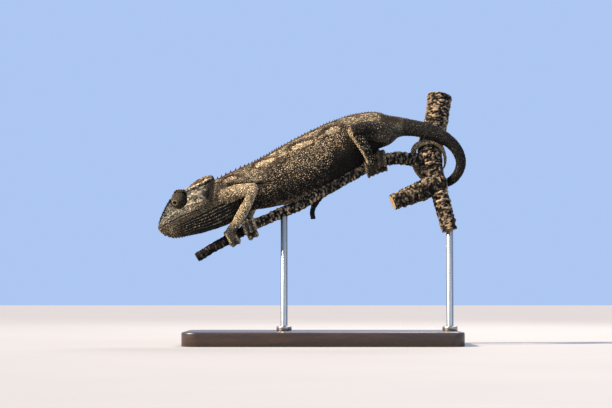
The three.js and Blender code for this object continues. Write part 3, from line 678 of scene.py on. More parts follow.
def hollowOf(points, rounds):  # how deep each place lies under its surroundings, in mm
    soft = points
    for step in range(rounds):
        soft = meanOfNeighbours(soft, edges)
    return ((soft - points) * normalsOf(points, quads)).sum(1)


def onHead(name, axis):
    return lineAt[name][axis](ring)


nearEye, overGroove = np.zeros(len(places)), np.zeros(len(places))  # 1 under a turret, 1 round it
eyePush = np.zeros((len(places), 3))
for way in (-1, 1):
    reach, flat = fromGaze(places, way)
    radial = lengthOf(flat)
    backward = (flat @ headAlong) / np.maximum(radial, 1e-6)
    mine = (side * way > 0) & (reach > -5) & isHead
    keepBrow = under(t, 17.6, 20.2) * (1 - 0.6 * smooth(-backward, 0.3, 0.9))
    depth = skin["socket"](radial) * (1 + 0.6 * np.clip(backward, 0, 1)) * keepBrow * mine
    eyePush -= depth[:, None] * eyeAim(way)[1]
    nearEye = np.maximum(nearEye, mine * under(radial, eye["radius"] - 0.7, eye["radius"] - 0.2))
    overGroove = np.maximum(overGroove, mine * keepBrow * hump(radial - eye["radius"] - 0.4, 1.1))

band = skin["neckBand"]
leaning = places[:, 0] - 0.12 * (places[:, 2] - 130)
jawBottom = through([*headLines["throat"]["t"], [60, -21.6], [76, -19.5]])
foldPlace = (t - jawBottom(s)) / (-5.2 - jawBottom(s))
foldShare = between(s, 12, 20, 60, 72) * between(foldPlace, 0.02, 0.14, 0.9, 1.05) * (isHead | isBody)
foldWave = np.cos(2 * np.pi * (skin["folds"] * foldPlace + 0.22 * lumps(places, 9, 3)))
lipOff, cheekOff, ridgeUp = (t - onHead(name, "t") for name in ("lip", "cheekbone", "ridge"))
ridgeOff = np.hypot(ridgeUp, flatSide - onHead("ridge", "y"))
onFlank = isHead & (flatSide > 0.45 * onHead("lip", "y"))
nostril = np.hypot((s - 10.9) * 0.75, t - 7.3)
temple = np.hypot((s - 43.5) / 9.5, (t - 12.4) / 8)
creaseStart, creaseEnd = np.array(skin["crease"])
creaseWay = creaseEnd - creaseStart
fromCrease = places * (1, 0, 1) + np.abs(places) * across - creaseStart
share = np.clip(fromCrease @ creaseWay / (creaseWay @ creaseWay), 0, 1)
crease = lengthOf(fromCrease - share[:, None] * creaseWay)
frill = hump(leaning - band["to"] - 1.2, 1.3) * smooth(places[:, 2], 122, 128) * (isBody | isHead)

reliefs = (  # height in mm and where it shows
    (0.22, lumps(places, 7, 1) * ~isFoot),
    (0.1, lumps(places, 2.2, 2)),
    (skin["foldDepth"], (foldWave - 0.6) * 0.5 * foldShare),
    (-0.34, hump(lipOff, 0.55) * onFlank * between(ring, 0.5, 2, 42, 45)),  # the mouth
    (0.3, (hump(lipOff - 1.4, 0.8) + 0.8 * hump(lipOff + 1.5, 0.9)) * onFlank * under(ring, 38, 44)),
    (0.6, hump(cheekOff, 1.0) * onFlank * between(ring, 6, 12, 42, 47)),
    (0.55, hump(ridgeOff, 0.9) * isHead * smooth(ring, 2, 6)),
    (-0.9, hump(ridgeUp + 2.1, 0.8) * onFlank * smooth(ring, 29, 34)),
    (0.5, hump(flatSide, 0.9) * (isHead & (t > 14)) * smooth(ring, 27, 33)),  # the crest of the casque
    (-1, (1.4 * hump(nostril, 0.9) - 0.35 * hump(nostril - 1.6, 0.5)) * onFlank),
    (0.5, under(temple, 0.5, 1.05) * onFlank),
    (-0.7, hump(temple - 1.25, 0.14) * onFlank * smooth(s, 46, 52)),
    (-1.7, hump(crease, 1.5) * (isBody | isArm)),
    (0.6, frill),
    (0.45, hump(flatSide, 1.1) * (isBody & (rise > 0.5)) * between(on["along"], 0.4, 1, 11.5, 14)),  # spine
    (-0.12, (1 + np.cos(2 * np.pi * on["run"] / 2.6)) * (isArm | isLeg)),  # rings of the limbs
    (-0.9, smooth(hollowOf(places, 3), 0.04, 0.26) * isFoot),  # the clefts between toes
)
push = -np.minimum(skin["depth"], 0.05 + 0.2 * np.where(isBody, bodyHigh(on["along"]), 9))
for height, share in reliefs:
    push = push + height * share
undented = places.copy()
places = places + eyePush + push[:, None] * normalsOf(places, quads) * (1 - nearEye)[:, None]
for step in range(2):  # take the stretch out of the eye sockets
    places = softened(places, np.clip(overGroove + nearEye, 0, 1)[:, None] * 0.5)
print("skin:", len(places), "points,", len(quads) * 2, "triangles")

# The markings are the same for the hide and its scales: five shares, strongest wins. Besides the animal's own
# pattern, dark and pale also carry painted shade and painted highlights.
marks = {name: np.zeros(len(places)) for name in ("pale", "dark", "rust", "cool", "fleck")}


def mark(**shares):
    for name, share in shares.items():
        marks[name] = np.maximum(marks[name], np.clip(share, 0, 1))


def fade(share, *names):  # takes this share away
    for name in names:
        marks[name] = marks[name] * (1 - share)


def spots(size, seed, low, high):  # ragged spots of about this size
    return smooth(lumps(places, size, seed), low, high)


u = on["along"]
normals = normalsOf(places, quads)
x, y, z = places.T
wavy = 0.16 * lumps(places, 7, 11) + 0.1 * lumps(places, 2.5, 12)
patchy, grainy = lumps(places, 3.4, 13), lumps(places, 1.7, 14)
hollow = hollowOf(places, 6)
trunk = isBody * under(u, 11.0, 11.9)
tail = isBody * smooth(u, 11.0, 11.9)
backEdge = through([[0, 0.35], [1.2, 0.2], [2.2, -0.05], [2.8, 0.1], [3.4, 0.58], [5, 0.72], [7.4, 0.68],
                    [8.6, 0.42], [9.3, 0.2], [11, 0.3]])
patches = {  # pale patches high on each flank: centre x, z, half length, half height; and their slant
    "at": [(-70, 142, 5.2, 2.1), (-39.9, 156.3, 8.2, 2.3), (-8.2, 171.3, 8.6, 2.4), (17.6, 183.9, 6.4, 2.7)],
    "slant": math.radians(20),
}
patch, overPatch = np.full((2, len(places)), 9.0)
rising, falling = math.cos(patches["slant"]), math.sin(patches["slant"])
for centreX, centreZ, halfLong, halfHigh in patches["at"]:
    ahead = (x - centreX) * rising + (z - centreZ) * falling
    above = (z - centreZ) * rising - (x - centreX) * falling
    patch = np.minimum(patch, np.hypot(ahead / halfLong, above / halfHigh))
    dash = np.hypot((ahead + 0.25 * halfLong) / (1.1 * halfLong), (above - halfHigh - 0.3) / 1.1)
    overPatch = np.minimum(overPatch, dash)
patch, overPatch = patch + 0.8 * wavy, overPatch + 1.4 * wavy
stripeAt = through([[row[0], row[1] - 0.8] for row in patches["at"]])  # a thin line joins the patches
stripe = hump(z - stripeAt(x) - 2.4 * wavy, 1.2) * between(x, -62, -50, 22, 32)

# trunk: beige along the back, dark with pale granules below, rust along the crest; the dark below is partly
# painted shade towards the belly and a painted shadow of the thigh
hipEnd = under(u + 0.12 * rise + 0.1 * patchy, 9.7, 10.0)
back = smooth(rise + 1.4 * wavy, backEdge(u) - 0.26, backEdge(u) + 0.2) * trunk
lower = trunk * (1 - back)
shade = smooth(rise + 0.5 * wavy, 0.35, -0.7)
rump = smooth(u, 9.3, 10.2) * under(rise, 0.1, 0.6)
mark(pale=back * hipEnd * (0.42 + 0.14 * patchy), dark=back * (0.17 + 0.2 * patchy))
mark(pale=0.62 * stripe * trunk)
mark(pale=lower * 0.2 * under(u, 2.5, 4.5) * (0.8 + patchy))
# darker low on the flank: painted shade towards the belly, and a painted shadow of the thigh towards the rear
mark(dark=lower * (1 - 0.7 * rump) * (
    0.8 + 0.08 * shade + 0.4 * smooth(u - 1.6 * rise, 7.2, 9.2) + 0.14 * patchy))
mark(dark=trunk * (1 - hipEnd) * (0.6 - 0.36 * rump), rust=0.1 * trunk * rump, cool=0.4 * trunk * rump)
# fewer pale flecks in the thigh's painted shadow
mark(fleck=lower * (0.72 - 0.26 * shade) * (1 - 0.95 * smooth(u - rise, 7.6, 9.0))
     * (0.75 + 0.25 * smooth(u + 0.6 * rise, 3.6, 5.2))
     * (1 - 0.72 * smooth(u - 2.2 * rise + patchy, 5.9, 7.9)))
mark(rust=lower * 0.25 * smooth(-patchy, 0.1, 0.7))
mark(pale=(1.3 - 0.5 * (x < -55)) * under(patch, 0.95, 1.15) * trunk)
fade(under(patch, 0.85, 1.15), "dark")
fade(under(patch, 0.6, 1), "fleck")
dashes = under(overPatch, 0.8, 1.15) * smooth(patch, 0.9, 1.1) * trunk
mark(dark=1.2 * dashes)
fade(0.8 * dashes, "pale")
outline = hump(patch - 1.4, 0.32) * trunk * spots(4, 15, -0.7, 0)
mark(rust=0.6 * outline, dark=0.95 * outline)
fade(0.5 * outline, "pale")
spine = trunk * smooth(rise + 0.15 * wavy, 0.935, 0.98)
mark(rust=0.62 * spine, dark=0.75 * spine * under(u, 8, 10))
fade(0.6 * spine, "pale")
bellyEdge = trunk * smooth(-rise, 0.72, 0.95) * between(u, 2.6, 3.4, 4.2, 5.4)
mark(rust=0.32 * bellyEdge, pale=0.4 * bellyEdge)

# shoulder and neck
mark(dark=0.66 * trunk * hump(u - 1.0 + 0.5 * rise, 1.0) * (0.75 + 1.2 * patchy))
fade(0.34 * trunk * hump(u - 1.3, 1.1), "pale")
# painted shade in a band across the neck, in front of the skin fold behind the temple, and a painted
# highlight along the fold's ridge
neckShade = (smooth(leaning + 1.5 * patchy, band["from"] - 1, band["from"] + 1.5)
             * under(leaning + patchy, band["to"] - 1, band["to"] + 0.6)
             * smooth(z, band["low"], band["low"] + 8) * (isHead | isBody))
mark(dark=0.78 * neckShade, pale=0.36 * frill)
mark(dark=0.8 * trunk * under(u, 1.4, 3.4) * smooth(-rise, -0.1, 0.5))

# tail: dark grey brown, faintly ringed, browner where it winds round the stem
ringed = 0.5 + 0.5 * np.cos(2 * np.pi * on["run"] / 13 + 2 * wavy)
wound = smooth(u, 20.5, 23)
mark(dark=tail * (0.86 + 0.12 * ringed) * (1 - 0.6 * wound), cool=tail * 0.22 * under(u, 18, 20),
     pale=0.8 * tail * wound * (0.75 + 0.25 * ringed), rust=0.4 * tail * wound, fleck=0.3 * tail)

# arms: beige with rust between; hands grey brown
# the arms darker on their undersides: painted shade where they face down
mark(pale=isArm * (0.82 + 0.16 * patchy + 0.14 * grainy), rust=isArm * 0.42 * spots(2.4, 21, 0.1, 0.6),
     dark=isArm * (0.1 + 0.25 * smooth(-normals[:, 2], 0.1, 0.8)))
shoulder = (kinds == "armUpper") * under(u + 0.4 * patchy, 0.9, 1.7)
mark(dark=shoulder * (0.5 + 0.4 * patchy))
fade(0.45 * shoulder, "pale")
mark(dark=isArm * 0.4 * (kinds == "armLower") * smooth(u, 2.3, 3))
# on the feet the rounded tops of the toes are paler: a painted highlight
mark(dark=isFoot * (0.02 + 0.44 * (x > 0) + 0.14 * patchy), cool=isFoot * 0.34 * (x < 0),
     pale=isFoot * 0.84 * smooth(-hollow, 0.02, 0.28) * (1 - 0.5 * (x > 0)),
     rust=isFoot * 0.3 * spots(3, 22, 0, 0.6), fleck=isFoot * 0.12)
farFoot = isFoot & (x > 56)
mark(rust=0.34 * farFoot)
fade(0.4 * farFoot, "dark")

# legs: dark, with the knee and the front of the shin pale: a painted highlight on the side that faces forward
# and a little down, where the rust spots also go
front = smooth(normals @ unit(np.array((-0.95, 0, -0.3))), 0.38, 0.72)
knee = front * np.where(isUpperLeg, smooth(u, 2.1, 3), 1.0)
buttock = smooth(x, 46, 60) * isUpperLeg * under(z, 182, 193)
thighTop = isUpperLeg * smooth(z, 173, 181) * under(x, 48, 57)
thighLow = isUpperLeg * (1 - thighTop)
mark(dark=isLeg * (0.92 - 0.2 * thighLow - 0.82 * knee + 0.12 * patchy) * (1 - 0.62 * buttock),
     cool=0.12 * buttock, pale=isLeg * (0.78 + 0.15 * grainy) * knee,
     fleck=isLeg * (0.5 - 0.1 * thighLow - 0.2 * thighTop))
mark(rust=isLeg * 0.42 * front * spots(3, 23, 0, 0.5))

# head: top, sides and cheek
crownUp = smooth(ridgeUp, -0.6, 0.3) * isHead
casque = crownUp * smooth(ring, 27, 33)
forehead = crownUp - casque
sides = isHead * (1 - crownUp) * smooth(t + 2 * wavy, -3, 3)
mark(pale=casque * (0.22 + 0.2 * patchy), dark=casque * 0.6 * spots(2.6, 32, 0.1, 0.5),
     rust=casque * (0.25 + 0.36 * spots(3, 31, -0.1, 0.5)))
mark(dark=forehead * (0.5 + 0.2 * patchy), rust=forehead * 0.3 * spots(3, 33, 0, 0.5))
mark(cool=0.74 * sides * under(s, 34, 44), dark=sides * (0.08 + 0.1 * patchy),
     pale=sides * (0.4 - 0.16 * (temple < 1.05) + 0.16 * patchy) * under(s, 47, 52)
     * (0.7 + 0.3 * smooth(s, 18, 30)))
mark(pale=0.26 * isHead * under(temple + 0.5 * wavy, 0.8, 1.2) * (1 + 0.2 * patchy),
     cool=0.45 * isHead * under(temple, 0.85, 1.1))
cheekRidge = hump(cheekOff + 0.7 + 0.8 * hump(ring - 26, 5), 1.0) * onFlank * under(ring, 43, 46)
foreCheek = cheekRidge * between(ring, 2, 5, 18, 24)
mark(pale=1.2 * cheekRidge * smooth(ring, 14, 20), cool=1.1 * foreCheek)
mark(pale=0.3 * foreCheek)
fade(0.8 * cheekRidge, "dark")
mark(dark=0.5 * onFlank * hump(-ridgeUp - 1.5, 1.6) * under(ring, 14, 22))
# painted shade in the groove under the casque's crest
underCrest = onFlank * hump(ridgeUp + 1.9, 0.9) * smooth(ring, 28, 31)
mark(pale=1.1 * isHead * hump(ridgeOff, 0.8) * smooth(ring, 30, 33), dark=1.3 * underCrest)

# jaw, throat folds, snout and nostril
jaw = smooth(-lipOff + 6 * wavy, 1, 7) * isHead
fold = foldShare * smooth(foldWave, 0.35, 0.95)
# darker below the mouth, more so towards the back: painted shade under the head
mark(dark=jaw * (0.36 + 0.36 * smooth(s, 16, 34)) * smooth(s, 4, 14))
# darker in the troughs between the throat folds and paler on their crests: painted shade and a painted
# highlight that follow the folds
mark(dark=0.5 * foldShare + 0.45 * foldShare * smooth(-foldWave, -0.5, 0.5))
fade(0.6 * fold, "dark")
mark(pale=0.52 * fold, cool=0.6 * foldShare * smooth(foldWave, 0.2, 0.9))
fade(0.8 * foldShare, "fleck")
underLip = isHead * (lipOff < 0)
# the dark at the nostril and round each turret is painted shade in those hollows
mark(rust=0.36 * isHead * under(s + 4 * wavy, 2, 8) * under(t, 1, 5),
     pale=0.3 * underLip * under(s + 6 * wavy, 10, 20),
     dark=isHead * (1.3 * hump(nostril, 1.3) + 0.75 * overGroove))
mark(rust=0.2 * underLip * smooth(-t, 5, 9) * under(s, 14, 22))
snoutEdge = isHead * hump(ridgeOff, 1.5) * under(ring, 20, 26)
mark(dark=1.1 * snoutEdge, rust=0.4 * snoutEdge)
fade(0.8 * snoutEdge, "pale")
# painted shade in the crease behind each upper arm
mark(dark=1.1 * hump(crease, 1.9) * (isBody | isArm))
# painted shade in the hollows of the hide, fullest on the feet; pale and flecks are taken out of all these
# painted shades
sunk = smooth(hollow, 0.12, 0.5) * np.where(isFoot, 1, 0.8) * (1 - foldShare) * (1 - nearEye)
mark(dark=sunk)
inShade = hump(crease, 1.7) * (isBody | isArm) + isHead * hump(nostril, 1.0) + underCrest + 0.9 * sunk
fade(0.85 * np.clip(inShade, 0, 1), "pale", "fleck")
for name in marks:  # soften the steps between parts
    for step in range(2):
        marks[name] = softened(marks[name], 0.5)
print("markings:", ", ".join(f"{name} {values.mean():.2f}" for name, values in marks.items()))


coat = {  # where each scale grows (a later row wins), spacing, half width and half length as shares of it,
    # height in mm, shape and slot
    "face": (isHead, 0.82, 0.62, 0.76, 0.25, "bead", "crown"),
    "temple": (isHead & ((temple < 1.02) & onFlank | (crownUp > 0.5) & (ring > 30)),
               1.7, 0.74, 0.78, 0.28, "plate", "crown"),
    "throat": (isHead & (lipOff < -1), 0.88, 0.6, 0.76, 0.27, "bead", "throat"),
    "neck": (isBody & (u < 3.2), 1.0, 0.62, 0.78, 0.3, "bead", "flank"),
    "flank_left": (isBody & (u >= 3.2) & (y < 0), 0.9, 0.62, 0.76, 0.28, "bead", "flank"),
    "flank_right": (isBody & (u >= 3.2) & (y >= 0), 0.9, 0.62, 0.76, 0.28, "bead", "flank"),
    "back": (isBody & (u >= 3.2) & (rise >= 0.72), 0.9, 0.62, 0.8, 0.27, "bead", "flank"),
    "arms": (isArm, 1.1, 0.62, 0.76, 0.32, "bead", "arm"),
    "legs": (isLeg, 0.95, 0.62, 0.76, 0.29, "bead", "leg"),
    "feet": (isFoot, 0.72, 0.6, 0.76, 0.24, "bead", "leg"),
    "tail": (isBody & (u >= 11.2), 0.9, 0.6, 0.82, 0.26, "bead", "tail"),
}
tubercles = {  # bigger, paler granules among the small ones: where, spacing, half width, height, slot
    "flanks": (("flank_left", "flank_right", "neck"), 1.6, 0.55, 0.46, "flank"),
    "limbs": (("arms", "legs"), 2.1, 0.62, 0.48, "leg"),
}
region = np.zeros(len(places), int)  # 0 stays bare, under the lid turrets
for code, row in enumerate(coat.values(), 1):
    region[row[0]] = code
region[nearEye > 0.25] = 0
bakeMap = {"wide": 440, "edge": 4, "scale": 3}  # mm of hide on the map, the gaps, and a scale's own patch


def unwrapped():  # every part's own length and girth, side by side on one square
    edge = bakeMap["edge"]
    corner, shelf, homes = [edge, edge], 0, {}
    for n in sorted(range(len(parts)), key=lambda n: -parts[n]["round"]):
        long, high = parts[n]["run"][-1], parts[n]["round"]
        if corner[0] + long + edge > bakeMap["wide"]:
            corner, shelf = [edge, corner[1] + shelf + edge], 0
        homes[n] = tuple(corner)
        corner[0] += long + edge
        shelf = max(shelf, high)
    cornerOwner = np.repeat(owner[quads].min(1), 4)
    vertex = quads.ravel()
    around, run = on["around"][vertex], on["run"][vertex]
    strange = np.flatnonzero(owner[vertex] != cornerOwner)
    for n in np.unique(cornerOwner[strange]):
        mine = strange[cornerOwner[strange] == n]
        own = np.flatnonzero(gridOwner == n)
        ownTree = BVHTree.FromPolygons(gridPoints.tolist(), gridQuads[own].tolist())
        onOwn, spot = nearest(ownTree, undented[vertex[mine]])
        there = placedOn(undented[vertex[mine]], np.full(len(mine), n), own[onOwn], spot)
        around[mine], run[mine] = there["around"], there["run"]
    around = around.reshape(-1, 4)
    around = np.where((np.ptp(around, axis=1) > 0.5)[:, None] & (around < 0.5), around + 1, around).ravel()
    girths = np.array([p["round"] for p in parts])[cornerOwner]
    starts = np.array([homes[n] for n in range(len(parts))])[cornerOwner]
    return np.stack([starts[:, 0] + run, starts[:, 1] + around * girths], 1) / bakeMap["wide"]


hideMap = unwrapped()
print("unwrap: from", hideMap.min(0).round(3), "to", hideMap.max(0).round(3))

hide = {  # colours, and how fully each mark hides what is under it
    "mid": ("#4f4739", "#37332c"),  # two browns that drift into each other
    "dark": ("#100e0d", 0.94), "cool": ("#5d6260", 0.7), "pale": ("#bdab8b", "#93876d", 0.96),
    "rust": ("#5f4027", 0.7), "fleck": "#94846a",
    "drift": 6, "mottle": 1.4, "wrinkle": 0.4,  # mm; real wrinkles of 0.25 mm are drawn coarser, to show
    "roughness": (0.62, 0.82),
}


def hideShader(name, isScale):
    # Dry reptile hide, keratin over skin: dull, faintly waxy. Each scale is paler on its top than at its rim,
    # painted shade by its height, and the hide between the scales is painted dark as shade in the gaps.
    material, add, place = newMaterial(name, Specular_IOR_Level=0.14)
    chance = add("Attribute", attribute_name="chance").outputs["Fac"] if isScale else (
        add("TexVoronoi", {"Vector": place, "Scale": 1 / mm}).outputs["Distance"])
    drift = add("TexNoise", {"Vector": place, "Scale": scaleOf(hide["drift"]), "Detail": 3, "Roughness": 0.6})
    mottle = add("TexNoise", {"Vector": place, "Scale": scaleOf(hide["mottle"]), "Detail": 2})
    edge = add("Math", (mottle, chance), operation="ADD")
    edge = add("Math", (edge, 0.24, -0.24), operation="MULTIPLY_ADD")
    colour, pale = (painted(add, first, (drift, 0.35, 0.65, 1, second))
                    for first, second, *_ in (hide["mid"], hide["pale"]))
    for key in ("dark", "cool", "pale", "rust"):
        ragged = add("Math", (key, edge), operation="ADD")
        share = add("MapRange", (ragged, 0.12, 0.88, 0, hide[key][-1]), interpolation_type="SMOOTHSTEP")
        colour = add("Mix", {"Factor": share, "A": colour, "B": pale if key == "pale" else hide[key][0]})
    if isScale:
        lucky = add("Math", (chance, 0.5, "fleck"), operation="MULTIPLY_ADD")
        colour = painted(add, colour, (lucky, 0.75, 1.35, 0.95, hide["fleck"]))
        # painted shade: darker down each scale's sides
        shade = add("MapRange", ("top", -0.3, 0.8, 0.15, 1.2))
        own = add("MapRange", (chance, 0, 1, 0.42, 1.6))
        value = add("Math", (shade, own), operation="MULTIPLY")
    else:
        # painted shade in the gaps between scales
        value = add("MapRange", (mottle, 0.3, 0.7, 0.15, 0.32))
    colour = add("VectorMath", {0: colour, "Scale": value}, operation="SCALE")
    wrinkles = add("TexNoise", {"Vector": place, "Scale": scaleOf(hide["wrinkle"]), "Detail": 3})
    return finished(material, add, colour, add("MapRange", (mottle, 0.3, 0.7, *hide["roughness"])),
                    (wrinkles, 0.35, 0.15))


skinMaterial = hideShader("reptile_hide_between_scales", False)
scaleMaterial = hideShader("reptile_scale_keratin", True)
skinPiece = makeMesh("hide", places, quads, skinMaterial)
attach(skinPiece, "POINT", **marks)
otherNodes = ("claw", "eye", "pupil", "perch", "stand")
enter(skinPiece, "flank", *(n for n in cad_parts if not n.startswith(otherNodes)))


def growTree(form, overFaces=True):  # scales over chosen faces, or one at each point that it is given
    tree = bpy.data.node_groups.new(f"{form}s on a hide", "GeometryNodeTree")
    add = partial(addNode, tree)
    labels = {}
    kinds = {"Geometry": "Geometry", "Region": "Int", "Spacing": "Float", "Half Width": "Float",
             "Half Length": "Float", "Height": "Float", "Variation": "Float", "Tilt": "Float", "Seed": "Int",
             "Material": "Material"}
    for label, kind in kinds.items():
        socket = tree.interface.new_socket(label, in_out="INPUT", socket_type="NodeSocket" + kind)
        labels[label] = socket.identifier
    tree.interface.new_socket("Geometry", in_out="OUTPUT", socket_type="NodeSocketGeometry")
    given = add("GroupInput").outputs
    if overFaces:
        chosen = add("Compare", {"A": "region", "B": given["Region"]}, data_type="INT", operation="EQUAL")
        square = add("Math", (given["Spacing"], given["Spacing"]), operation="MULTIPLY")
        density = add("Math", (4, square), operation="DIVIDE")
        points, facing, _ = add("DistributePointsOnFaces", {
            "Mesh": given["Geometry"], "Selection": chosen, "Distance Min": given["Spacing"],
            "Density Max": density, "Seed": given["Seed"]}, distribute_method="POISSON").outputs
    else:
        points, facing = add("MeshToPoints", {"Mesh": given["Geometry"]}), "facing"
    turn = add("AlignRotationToVector", {"Vector": facing}, axis="Z")
    turn = add("AlignRotationToVector", {"Rotation": turn, "Vector": "lie"}, axis="X", pivot_axis="Z")
    twist = add("RandomValue", {"Min": -0.35, "Max": 0.35, "Seed": given["Seed"]})
    lean = add("EulerToRotation", (add("CombineXYZ", (0, given["Tilt"], twist)),))
    turn = add("RotateRotation", {"Rotation": turn, "Rotate By": lean}, rotation_space="LOCAL")
    least, most = (add("Math", (1, given["Variation"]), operation=way) for way in ("SUBTRACT", "ADD"))
    size = add("RandomValue", {"Min": least, "Max": most, "Seed": given["Seed"]})
    size = add("Math", (size, "growth"), operation="MULTIPLY")
    shape = add("CombineXYZ", (given["Half Length"], given["Half Width"], given["Height"]))
    shape = add("VectorMath", {0: shape, "Scale": size}, operation="SCALE")
    if form == "bead":
        one = add("MeshIcoSphere", {"Radius": 1.0, "Subdivisions": 1})
    elif form == "plate":  # six-sided, with a flat top
        one = add("MeshCone", {"Vertices": 6, "Radius Top": 0.86, "Radius Bottom": 1.0, "Depth": 1.0})
    else:  # a cone from z 0 to 1 that bends back towards its point
        one = add("MeshCone", {"Vertices": 8, "Side Segments": 4, "Radius Top": 0.06, "Radius Bottom": 1.0,
                               "Depth": 1.0})
        here = add("SeparateXYZ", (add("InputPosition"),)).outputs["Z"]
        bent = add("Math", (here, here), operation="MULTIPLY")
        bent = add("Math", (bent, 0.55), operation="MULTIPLY")
        one = add("SetPosition", {"Geometry": one, "Offset": add("CombineXYZ", {"X": bent})})
    if form != "plate":
        one = add("SetShadeSmooth", {"Geometry": one})

    one = add("StoreNamedAttribute", {"Geometry": one, "Name": "spot", "Value": add("InputPosition")},
              data_type="FLOAT_VECTOR")
    scales = add("InstanceOnPoints", {"Points": points, "Instance": one, "Rotation": turn, "Scale": shape})
    chance = add("RandomValue", {"Min": 0.0, "Max": 1.0, "Seed": 7})
    scales = add("StoreNamedAttribute", {"Geometry": scales, "Name": "chance", "Value": chance},
                 domain="INSTANCE")
    real = add("RealizeInstances", {"Geometry": scales})
    half = bakeMap["scale"] / 2 * mm
    onMap = add("VectorMath", ("spot", (half, half, 0), "root"), operation="MULTIPLY_ADD")
    real = add("StoreNamedAttribute", {"Geometry": real, "Name": "OFBake", "Value": onMap},
               data_type="FLOAT2", domain="CORNER")
    top = add("SeparateXYZ", ("spot",)).outputs["Z"]
    real = add("StoreNamedAttribute", {"Geometry": real, "Name": "top", "Value": top})
    add("GroupOutput", (add("SetMaterial", {"Geometry": real, "Material": given["Material"]}),))
    return tree, labels


def grown(name, source, grower, slot, sizes, **values):  # the tree's result as a plain mesh of its own
    modifier = source.modifiers.new("grow", "NODES")
    modifier.node_group, labels = grower
    lengths = zip(("Half Width", "Half Length", "Height", "Spacing"), (size * mm for size in sizes))
    for label, value in (*lengths, *values.items(), ("Material", scaleMaterial)):
        modifier[labels[label]] = value
    mesh = finalMesh(source)
    mesh.name = name
    source.modifiers.clear()
    for spare in ("spot", "root", "lie", "facing", "growth", "region"):
        if spare in mesh.attributes:
            mesh.attributes.remove(mesh.attributes[spare])
    enter(addObject(name, mesh), slot)
    print(f"{name}: {len(mesh.polygons)} faces")


def groundFor(where, growth, **marked):  # a copy of the hide that scales grow on
    ground = addObject("ground", skinPiece.data.copy())
    attach(ground, "FACE", region=where)
    attach(ground, "CORNER", root=np.column_stack([hideMap, np.zeros(len(hideMap))]))
    attach(ground, "POINT", lie=on["lie"], growth=growth, **marked)
    return ground


coatTrees = {form: growTree(form) for form in ("bead", "plate")}
ground = groundFor(region[quads].min(1), np.ones(len(places)))
for code, (name, (_, spacing, width, length, height, form, slot)) in enumerate(coat.items(), 1):
    sizes = (width * spacing, length * spacing, height, spacing)
    grown("scales_" + name, ground, coatTrees[form], slot, sizes, Region=code, Variation=0.22, Tilt=0.24,
          Seed=code)
bpy.data.objects.remove(ground)
bigger = smooth(marks["fleck"] + 0.3 * isArm, 0.05, 0.5) * smooth(patch, 0.9, 1.2)
for seed, (name, (where, spacing, width, height, slot)) in enumerate(tubercles.items(), 30):
    chosen = np.isin(region, [list(coat).index(key) + 1 for key in where]) & (bigger > 0.25)
    ground = groundFor(chosen[quads].all(1), bigger, dark=0.55 * marks["dark"],
                       fleck=0.3 + 0.8 * marks["fleck"])
    grown("tubercles_" + name, ground, coatTrees["bead"], slot, (width, width, height, spacing),
          Region=1, Variation=0.42, Tilt=0.0, Seed=seed)
    bpy.data.objects.remove(ground)


def onHide(points):  # the nearest places on the hide, and its normals, marks and map places there
    hits = [hideTree.find_nearest(p) for p in np.asarray(points).tolist()]
    faces = np.array([h[2] for h in hits])
    there = {name: values[quads[faces]].mean(1) for name, values in marks.items()}
    return np.array([h[0] for h in hits]), np.array([h[1] for h in hits]), there, hideMap[faces * 4]


def steppedAlong(line, spacing):  # places at an even spacing along a line of close points
    run = runAlong(line)
    stops = np.arange(spacing / 2, run[-1], spacing)
    return np.stack([np.interp(stops, run, column) for column in line.T], 1)


def allMarks(count, marked):  # the five marks, nothing where none is given
    return {key: np.full(count, marked.get(key, 0), float) for key in marks}


def growRow(name, grower, slot, sizes, points, facing, lie, growth, marked, roots, **values):
    source, count = makeMesh(name + "_row", points, []), len(points)
    attach(source, "POINT", facing=np.broadcast_to(facing, (count, 3)), lie=np.broadcast_to(lie, (count, 3)),
           root=np.column_stack([roots, np.zeros(count)]), growth=growth, **allMarks(count, marked))
    grown(name, source, grower, slot, sizes, **values)
    bpy.data.objects.remove(source)


def aboutGaze(way, profile, columns):  # rows of points turned about the gaze, from radius and distance
    centre, gaze = eyeAim(way)
    right = unit(np.cross(gaze, headUp))
    over = np.cross(right, gaze)
    angles = np.arange(columns) / columns * 2 * np.pi
    radius, along = np.array(profile, float).T[:, :, None]
    return (centre + along[..., None] * gaze + (radius * np.cos(angles))[..., None] * right
            + (radius * np.sin(angles))[..., None] * over)


headRows = (  # line, rings from and to, spacing, half length, lift over the line, marks of their own
    ("ridge", 2.5, 31, 2.0, 1.1, 0, {"dark": 0.88, "rust": 0.3, "pale": 0, "cool": 0.1}),  # snout
    ("ridge", 31.5, 51.5, 1.6, 0.85, 0, {"pale": 0.7, "fleck": 0.4}),  # edge of the casque
    ("cheekbone", 7, 44, 1.2, 0.85, -0.7, {}),
    ("lip", 0.8, 41, 1.35, 0.72, 0.85, {"cool": 0.35}),
    ("lip", 0.8, 41, 1.35, 0.72, -0.95, {"cool": 0.3, "dark": 0.2}),
    ("crown", 27, 51, 1.6, 0.8, 0, {"rust": 0.6}),
    ("crown", 3, 26, 1.5, 0.7, 0, {"dark": 0.5}),
)
socketRim = {  # dark scales round the front and top of each socket: degrees and mm
    "from": 40, "to": 178, "count": 17, "out": 0.5, "along": -1.0, "length": 0.75,
    "marks": {"dark": 0.75, "rust": 0.5, "fleck": 0.2, "pale": 0, "cool": 0},
}
rowScale = (0.72, 0.85, 0.75)  # half width, half length, height
hideTree = BVHTree.FromPolygons(places.tolist(), quads.tolist())
rowTree, spikeTree = growTree("bead", False), growTree("spine", False)
lines = []  # points, how far they keep from the gaze, half length, marks
